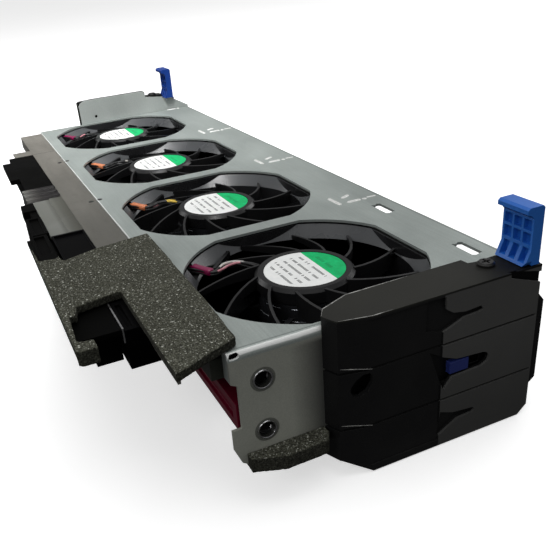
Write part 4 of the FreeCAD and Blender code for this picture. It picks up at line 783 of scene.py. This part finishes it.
# painted highlight: the clips of fans 2 and 3 are the same burgundy moulding, coloured orange for the light on them
sleeves = [sleeve("fan_%d_lead_clip" % k, k, MAT["orange"] if k in (2, 3) else MAT["burgundy"]) for k in range(1, 5)]
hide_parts("fan_lead_guides")


# ------------------------------------------------------- marks on the sheet
def bead(bm, p, q, width, height, z):
    """A raised bead with rounded ends between two plate points, in mm."""
    p, q = Vector((p[0], p[1], 0)), Vector((q[0], q[1], 0))
    d = (q - p)
    d = d.normalized() if d.length > 1e-6 else Vector((1, 0, 0))
    n = Vector((-d.y, d.x, 0))
    rings = []
    for f, h in ((1.0, 0.0), (0.86, 0.5), (0.6, 0.85), (0.25, 1.0)):
        loop = []
        for end, a0 in ((q, -90), (p, 90)):
            for i in range(9):
                t = math.radians(a0 + 180.0 * i / 8)
                v = end + (d * math.cos(t) + n * math.sin(t)) * (width / 2 * f)
                loop.append(bm.verts.new(P(v.x, v.y, z + height * h)))
        rings.append(loop)
    m = len(rings[0])
    for r0, r1 in zip(rings, rings[1:]):
        for i in range(m):
            j = (i + 1) % m
            bm.faces.new((r0[i], r0[j], r1[j], r1[i]))
    bm.faces.new(rings[-1])


def mark_piece(name, beads, mat):
    bm = bmesh.new()
    for b in beads:
        bead(bm, *b)
    bmesh.ops.recalc_face_normals(bm, faces=bm.faces)
    me = bpy.data.meshes.new(name)
    bm.to_mesh(me)
    bm.free()
    me.materials.append(mat)
    smooth(me, 60)
    o = link(name, me)
    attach(o, "tray")
    return o


# painted highlight: the embossed marks on the sheet are coloured near-white for the light they catch
def bright_mark():
    m = Mat("scuffed_zinc")
    g = m.noise(m.coords((1, 1, 1)), 900.0, 3.0)
    m.set(Base_Color=m.ramp(g, [(0.3, srgb(214, 216, 213)), (0.7, srgb(250, 250, 247))]), Metallic=0.1,
          Roughness=m.rng(g, 0.3, 0.7, 0.3, 0.5))
    m.bump(g, 0.1, 0.0001)
    return m.m


MAT["scuffed"] = bright_mark()
strokes = []
for x0 in (-51.5, -141.0, -239.5, -341.5 + 2.0):
    strokes += [((x0 - 9.5, 47.0), (x0, 47.3), 2.0, 0.5, 0.0), ((x0 - 7.3, 53.5), (x0 - 8.9, 56.8), 2.2, 0.5, 0.0),
                ((x0, 52.6), (x0, 58.0), 2.3, 0.5, 0.0), ((x0 + 0.2, 60.9), (x0 + 0.5, 61.3), 1.9, 0.45, 0.0),
                ((x0 - 0.8, 63.8), (x0 - 0.4, 67.5), 1.3, 0.3, 0.0)]
strokes = [b for b in strokes if b[0][0] > -340.0 and b[1][0] > -340.0]
mark_piece("plate_embossing", strokes, MAT["scuffed"])
dots = []
for x0, x1 in ((-236.2, -235.2), (-139.6, -139.1)):
    dots += [((x0, -57.2), (x0 + 0.1, -57.2), 3.0, 0.35, -0.4), ((x1, -52.4), (x1 + 0.1, -52.4), 2.8, 0.35, 0.0)]
dots.append(((-272.0, -69.2), (-272.0, -55.2), 0.5, 0.05, -0.4))
mark_piece("ledge_rivets", dots, MAT["screw"])


# ------------------------------------------------- threaded collars, wall holes
def ring_x(name, x, y, z, prof, mat, segs=40):
    """A turned ring about the x axis; prof holds (outward mm, radius mm)."""
    bm = bmesh.new()
    loops = []
    for dx, r in prof:
        loops.append([bm.verts.new(P(x + dx, y + r * math.cos(2 * math.pi * i / segs),
                                     z + r * math.sin(2 * math.pi * i / segs))) for i in range(segs)])
    for r0, r1 in zip(loops, loops[1:] + loops[:1]):
        for i in range(segs):
            j = (i + 1) % segs
            bm.faces.new((r0[i], r0[j], r1[j], r1[i]))
    bmesh.ops.recalc_face_normals(bm, faces=bm.faces)
    me = bpy.data.meshes.new(name)
    bm.to_mesh(me)
    bm.free()
    me.materials.append(mat)
    smooth(me, 40)
    o = link(name, me)
    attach(o, "tray")
    return o


for tag, zz in (("upper", -13.0), ("lower", -33.9)):
    ring_x("wall_collar_" + tag, 48.5, -42.4, zz,
           [(-3.4, 3.12), (0.30, 3.12), (0.45, 3.3), (0.45, 3.62), (0.2, 3.8), (-0.2, 3.8), (-3.4, 3.4)],
           MAT["steel"])
    ring_x("wall_collar_seat_" + tag, 48.5, -42.4, zz,
           [(-0.1, 3.85), (0.05, 3.85), (0.10, 4.3), (0.05, 4.7), (-0.1, 4.7)], MAT["seat"])


# ------------------------------------------- painted glints on the foot of each hub cup
def hub_glints(k):
    """Short bright arcs round the turning cup, a little below its rim, as painted glints."""
    rnd = random.Random(40 + k)
    bm = bmesh.new()
    for zc, count, half in ((29.6, 9, 0.22), (24.2, 7, 0.18)):
        for i in range(count):
            a0 = 2 * math.pi * (i + rnd.uniform(-0.12, 0.12)) / count
            a1 = a0 + 2 * math.pi / count * rnd.uniform(0.45, 0.72)
            rows = []
            steps = 9
            for j in range(steps + 1):
                t = a0 + (a1 - a0) * j / steps
                f = math.sin(math.pi * (j + 0.35) / (steps + 0.7)) ** 0.5
                ring = []
                for r, dz in ((20.28, half * f), (20.42, half * f * 0.5), (20.42, -half * f * 0.5), (20.28, -half * f)):
                    ring.append(bm.verts.new(fan_place(k, r * math.cos(t), r * math.sin(t), zc + dz)))
                rows.append(ring)
            for r0, r1 in zip(rows, rows[1:]):
                for q in range(4):
                    bm.faces.new((r0[q], r0[(q + 1) % 4], r1[(q + 1) % 4], r1[q]))
            bm.faces.new(rows[0])
            bm.faces.new(rows[-1][::-1])
    bmesh.ops.recalc_face_normals(bm, faces=bm.faces)
    me = bpy.data.meshes.new("fan_%d_cup_arcs" % k)
    bm.to_mesh(me)
    bm.free()
    me.materials.append(MAT["glint"])
    smooth(me, 60)
    o = link("fan_%d_cup_arcs" % k, me)
    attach(o, "rotor_%d" % k)
    return o


# painted highlight: near-white, partly metallic colour standing for glints on the hub cup
def glint_material():
    m = Mat("painted_glint_line")
    g = m.noise(m.coords((1, 1, 1)), 700.0, 3.0)
    m.set(Base_Color=m.ramp(g, [(0.35, srgb(150, 156, 168)), (0.65, srgb(236, 238, 242))]), Metallic=0.6,
          Roughness=m.rng(g, 0.3, 0.7, 0.15, 0.3))
    m.bump(g, 0.05, 0.0001)
    return m.m


MAT["glint"] = glint_material()
for k in range(1, 5):
    hub_glints(k)

# ------------------------------------------------------- painted highlights on the cap's edges and grooves
def ribbon(bm, pts, half, out, up=Vector((0, 0, 1))):
    """A thin proud strip along 3-D points in plate mm: half its height in mm,
    out = its unit outward direction scaled by how proud it stands."""
    n = len(pts)
    rows = []
    for i, q in enumerate(pts):
        f = min(1.0, 0.25 + 2.5 * min(i, n - 1 - i) / max(1, n - 1))
        q = Vector(q)
        o = Vector(out[i] if isinstance(out, list) else out)
        rows.append([bm.verts.new(P(*(q + up * (half * f) - o * 0.4))), bm.verts.new(P(*(q + up * (half * f * 0.6) + o))),
                     bm.verts.new(P(*(q - up * (half * f * 0.6) + o))), bm.verts.new(P(*(q - up * (half * f) - o * 0.4)))])
    for r0, r1 in zip(rows, rows[1:]):
        for a in range(3):
            bm.faces.new((r0[a], r0[a + 1], r1[a + 1], r1[a]))
        bm.faces.new((r0[3], r0[0], r1[0], r1[3]))
    bm.faces.new(rows[0])
    bm.faces.new(rows[-1][::-1])


# painted highlight: light grey standing for the light caught along the cap's rims and groove ledges
def painted_edge_highlight():
    m = Mat("black_edge_painted_highlight")
    g = m.noise(m.coords((1, 1, 1)), 260.0, 4.0, 0.7)
    m.set(Base_Color=m.ramp(g, [(0.35, srgb(96, 96, 94)), (0.65, srgb(206, 206, 202))]),
          Roughness=m.rng(g, 0.3, 0.7, 0.2, 0.35))
    m.bump(g, 0.05, 0.0001)
    return m.m


MAT["edge"] = painted_edge_highlight()


def spaced(a, b, n):
    a, b = Vector(a), Vector(b)
    return [a.lerp(b, i / (n - 1)) for i in range(n)]


bm = bmesh.new()
lid_z = 3.98
rim = spaced((48.2, -19.2, lid_z), (44.2, -16.5, lid_z), 4) + spaced((44.0, -16.2, lid_z), (39.25, -4.5, lid_z), 6) \
    + spaced((39.2, -4.0, lid_z), (38.9, 22.0, lid_z), 9)
ribbon(bm, rim, 0.28, Vector((0, 0, 0.06)), up=Vector((0.96, 0.25, 0)))
front = spaced((54.5, -16.6, lid_z), (57.1, -4.9, lid_z), 6) + spaced((57.15, -4.4, lid_z), (57.15, 3.0, lid_z), 4)
ribbon(bm, front, 0.22, Vector((0, 0, 0.06)), up=Vector((0.97, -0.2, 0)))
for z0 in (-17.35, -41.35):
    facet = Vector((12.2, -2.9, 0)).normalized()
    run = spaced((54.75, -16.4, z0 + 2.6), (57.4, -5.2, z0 + 0.6), 7)
    ribbon(bm, run, 0.16, facet * 0.07)
me = bpy.data.meshes.new("cap_edge_highlight_strips")
bmesh.ops.recalc_face_normals(bm, faces=bm.faces)
bm.to_mesh(me)
bm.free()
me.materials.append(MAT["edge"])
cap_edge_highlights = link("cap_edge_highlight_strips", me)
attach(cap_edge_highlights, "tray")

# ---------------------------------------------------------------------- stage
def floor_material():
    m = Mat("pale_floor")
    g = m.noise(m.coords((1, 1, 1)), 3.0, 2.0)
    m.set(Base_Color=m.ramp(g, [(0.3, (0.93, 0.93, 0.93, 1)), (0.7, (0.95, 0.95, 0.95, 1))]), Roughness=0.9)
    m.b.inputs["Specular IOR Level"].default_value = 0.1
    m.b.inputs["Emission Color"].default_value = (1.0, 1.0, 1.0, 1.0)
    m.b.inputs["Emission Strength"].default_value = 0.52
    return m.m


bm = bmesh.new()
bmesh.ops.create_grid(bm, x_segments=2, y_segments=2, size=8.0)
me = bpy.data.meshes.new("floor")
bm.to_mesh(me)
bm.free()
floor = link("floor", me)
floor.location = (0, 0, -0.0005)
me.materials.append(floor_material())
# the floor takes the light and the shadow, but throws none back at the part
floor.visible_diffuse = False
floor.visible_glossy = False


def area(name, loc, target, size, power, color=(1, 1, 1), size_y=None, spread=180.0):
    d = bpy.data.lights.new(name, "AREA")
    d.shape = "RECTANGLE" if size_y else "SQUARE"
    d.size = size
    if size_y:
        d.size_y = size_y
    d.energy = power
    d.color = color
    d.spread = math.radians(spread)
    o = bpy.data.objects.new(name, d)
    scene.collection.objects.link(o)
    o.location = loc
    o.rotation_mode = "QUATERNION"
    o.rotation_quaternion = (Vector(target) - Vector(loc)).to_track_quat("-Z", "Y")
    return o


area("top_light", (-0.15, 0.15, 1.9), (0, 0, 0), 1.8, 13.0)
area("back_light", (-0.6, 1.7, 1.0), (0, 0, 0.05), 1.0, 6.0)
area("front_light", (0.9, -1.3, 1.2), (0.1, 0, 0.03), 0.7, 5.0)
area("far_light", (0.16, -0.10, 0.52), (-0.27, -0.02, 0.07), 0.16, 0.46, spread=64.0)
area("left_light", (-1.25, -1.05, 0.60), (-0.05, 0.0, 0.03), 0.8, 4.0)
world = bpy.data.worlds.new("studio")
scene.world = world
world.use_nodes = True
wn = world.node_tree.nodes
wl = world.node_tree.links
bg = wn["Background"]
# a bright ceiling, mid-grey walls and a dark ground, by direction in the room
tc = wn.new("ShaderNodeTexCoord")
sp = wn.new("ShaderNodeSeparateXYZ")
wl.new(tc.outputs["Generated"], sp.inputs[0])
rp = wn.new("ShaderNodeValToRGB")
els = rp.color_ramp.elements
for pos, val in ((0.44, 0.055), (0.52, 0.13), (0.66, 0.26), (0.90, 0.36)):
    e = els.new(pos)
    e.color = (val, val, val, 1.0)
els.remove(els[0])
els.remove(els[-1])
mr = wn.new("ShaderNodeMapRange")
mr.inputs["From Min"].default_value = -1.0
mr.inputs["From Max"].default_value = 1.0
wl.new(sp.outputs[2], mr.inputs["Value"])
wl.new(mr.outputs["Result"], rp.inputs["Fac"])
wl.new(rp.outputs["Color"], bg.inputs[0])
bg.inputs[1].default_value = 1.0
scene.view_settings.view_transform = "Standard"
scene.view_settings.look = "None"
scene.view_settings.exposure = 0.0
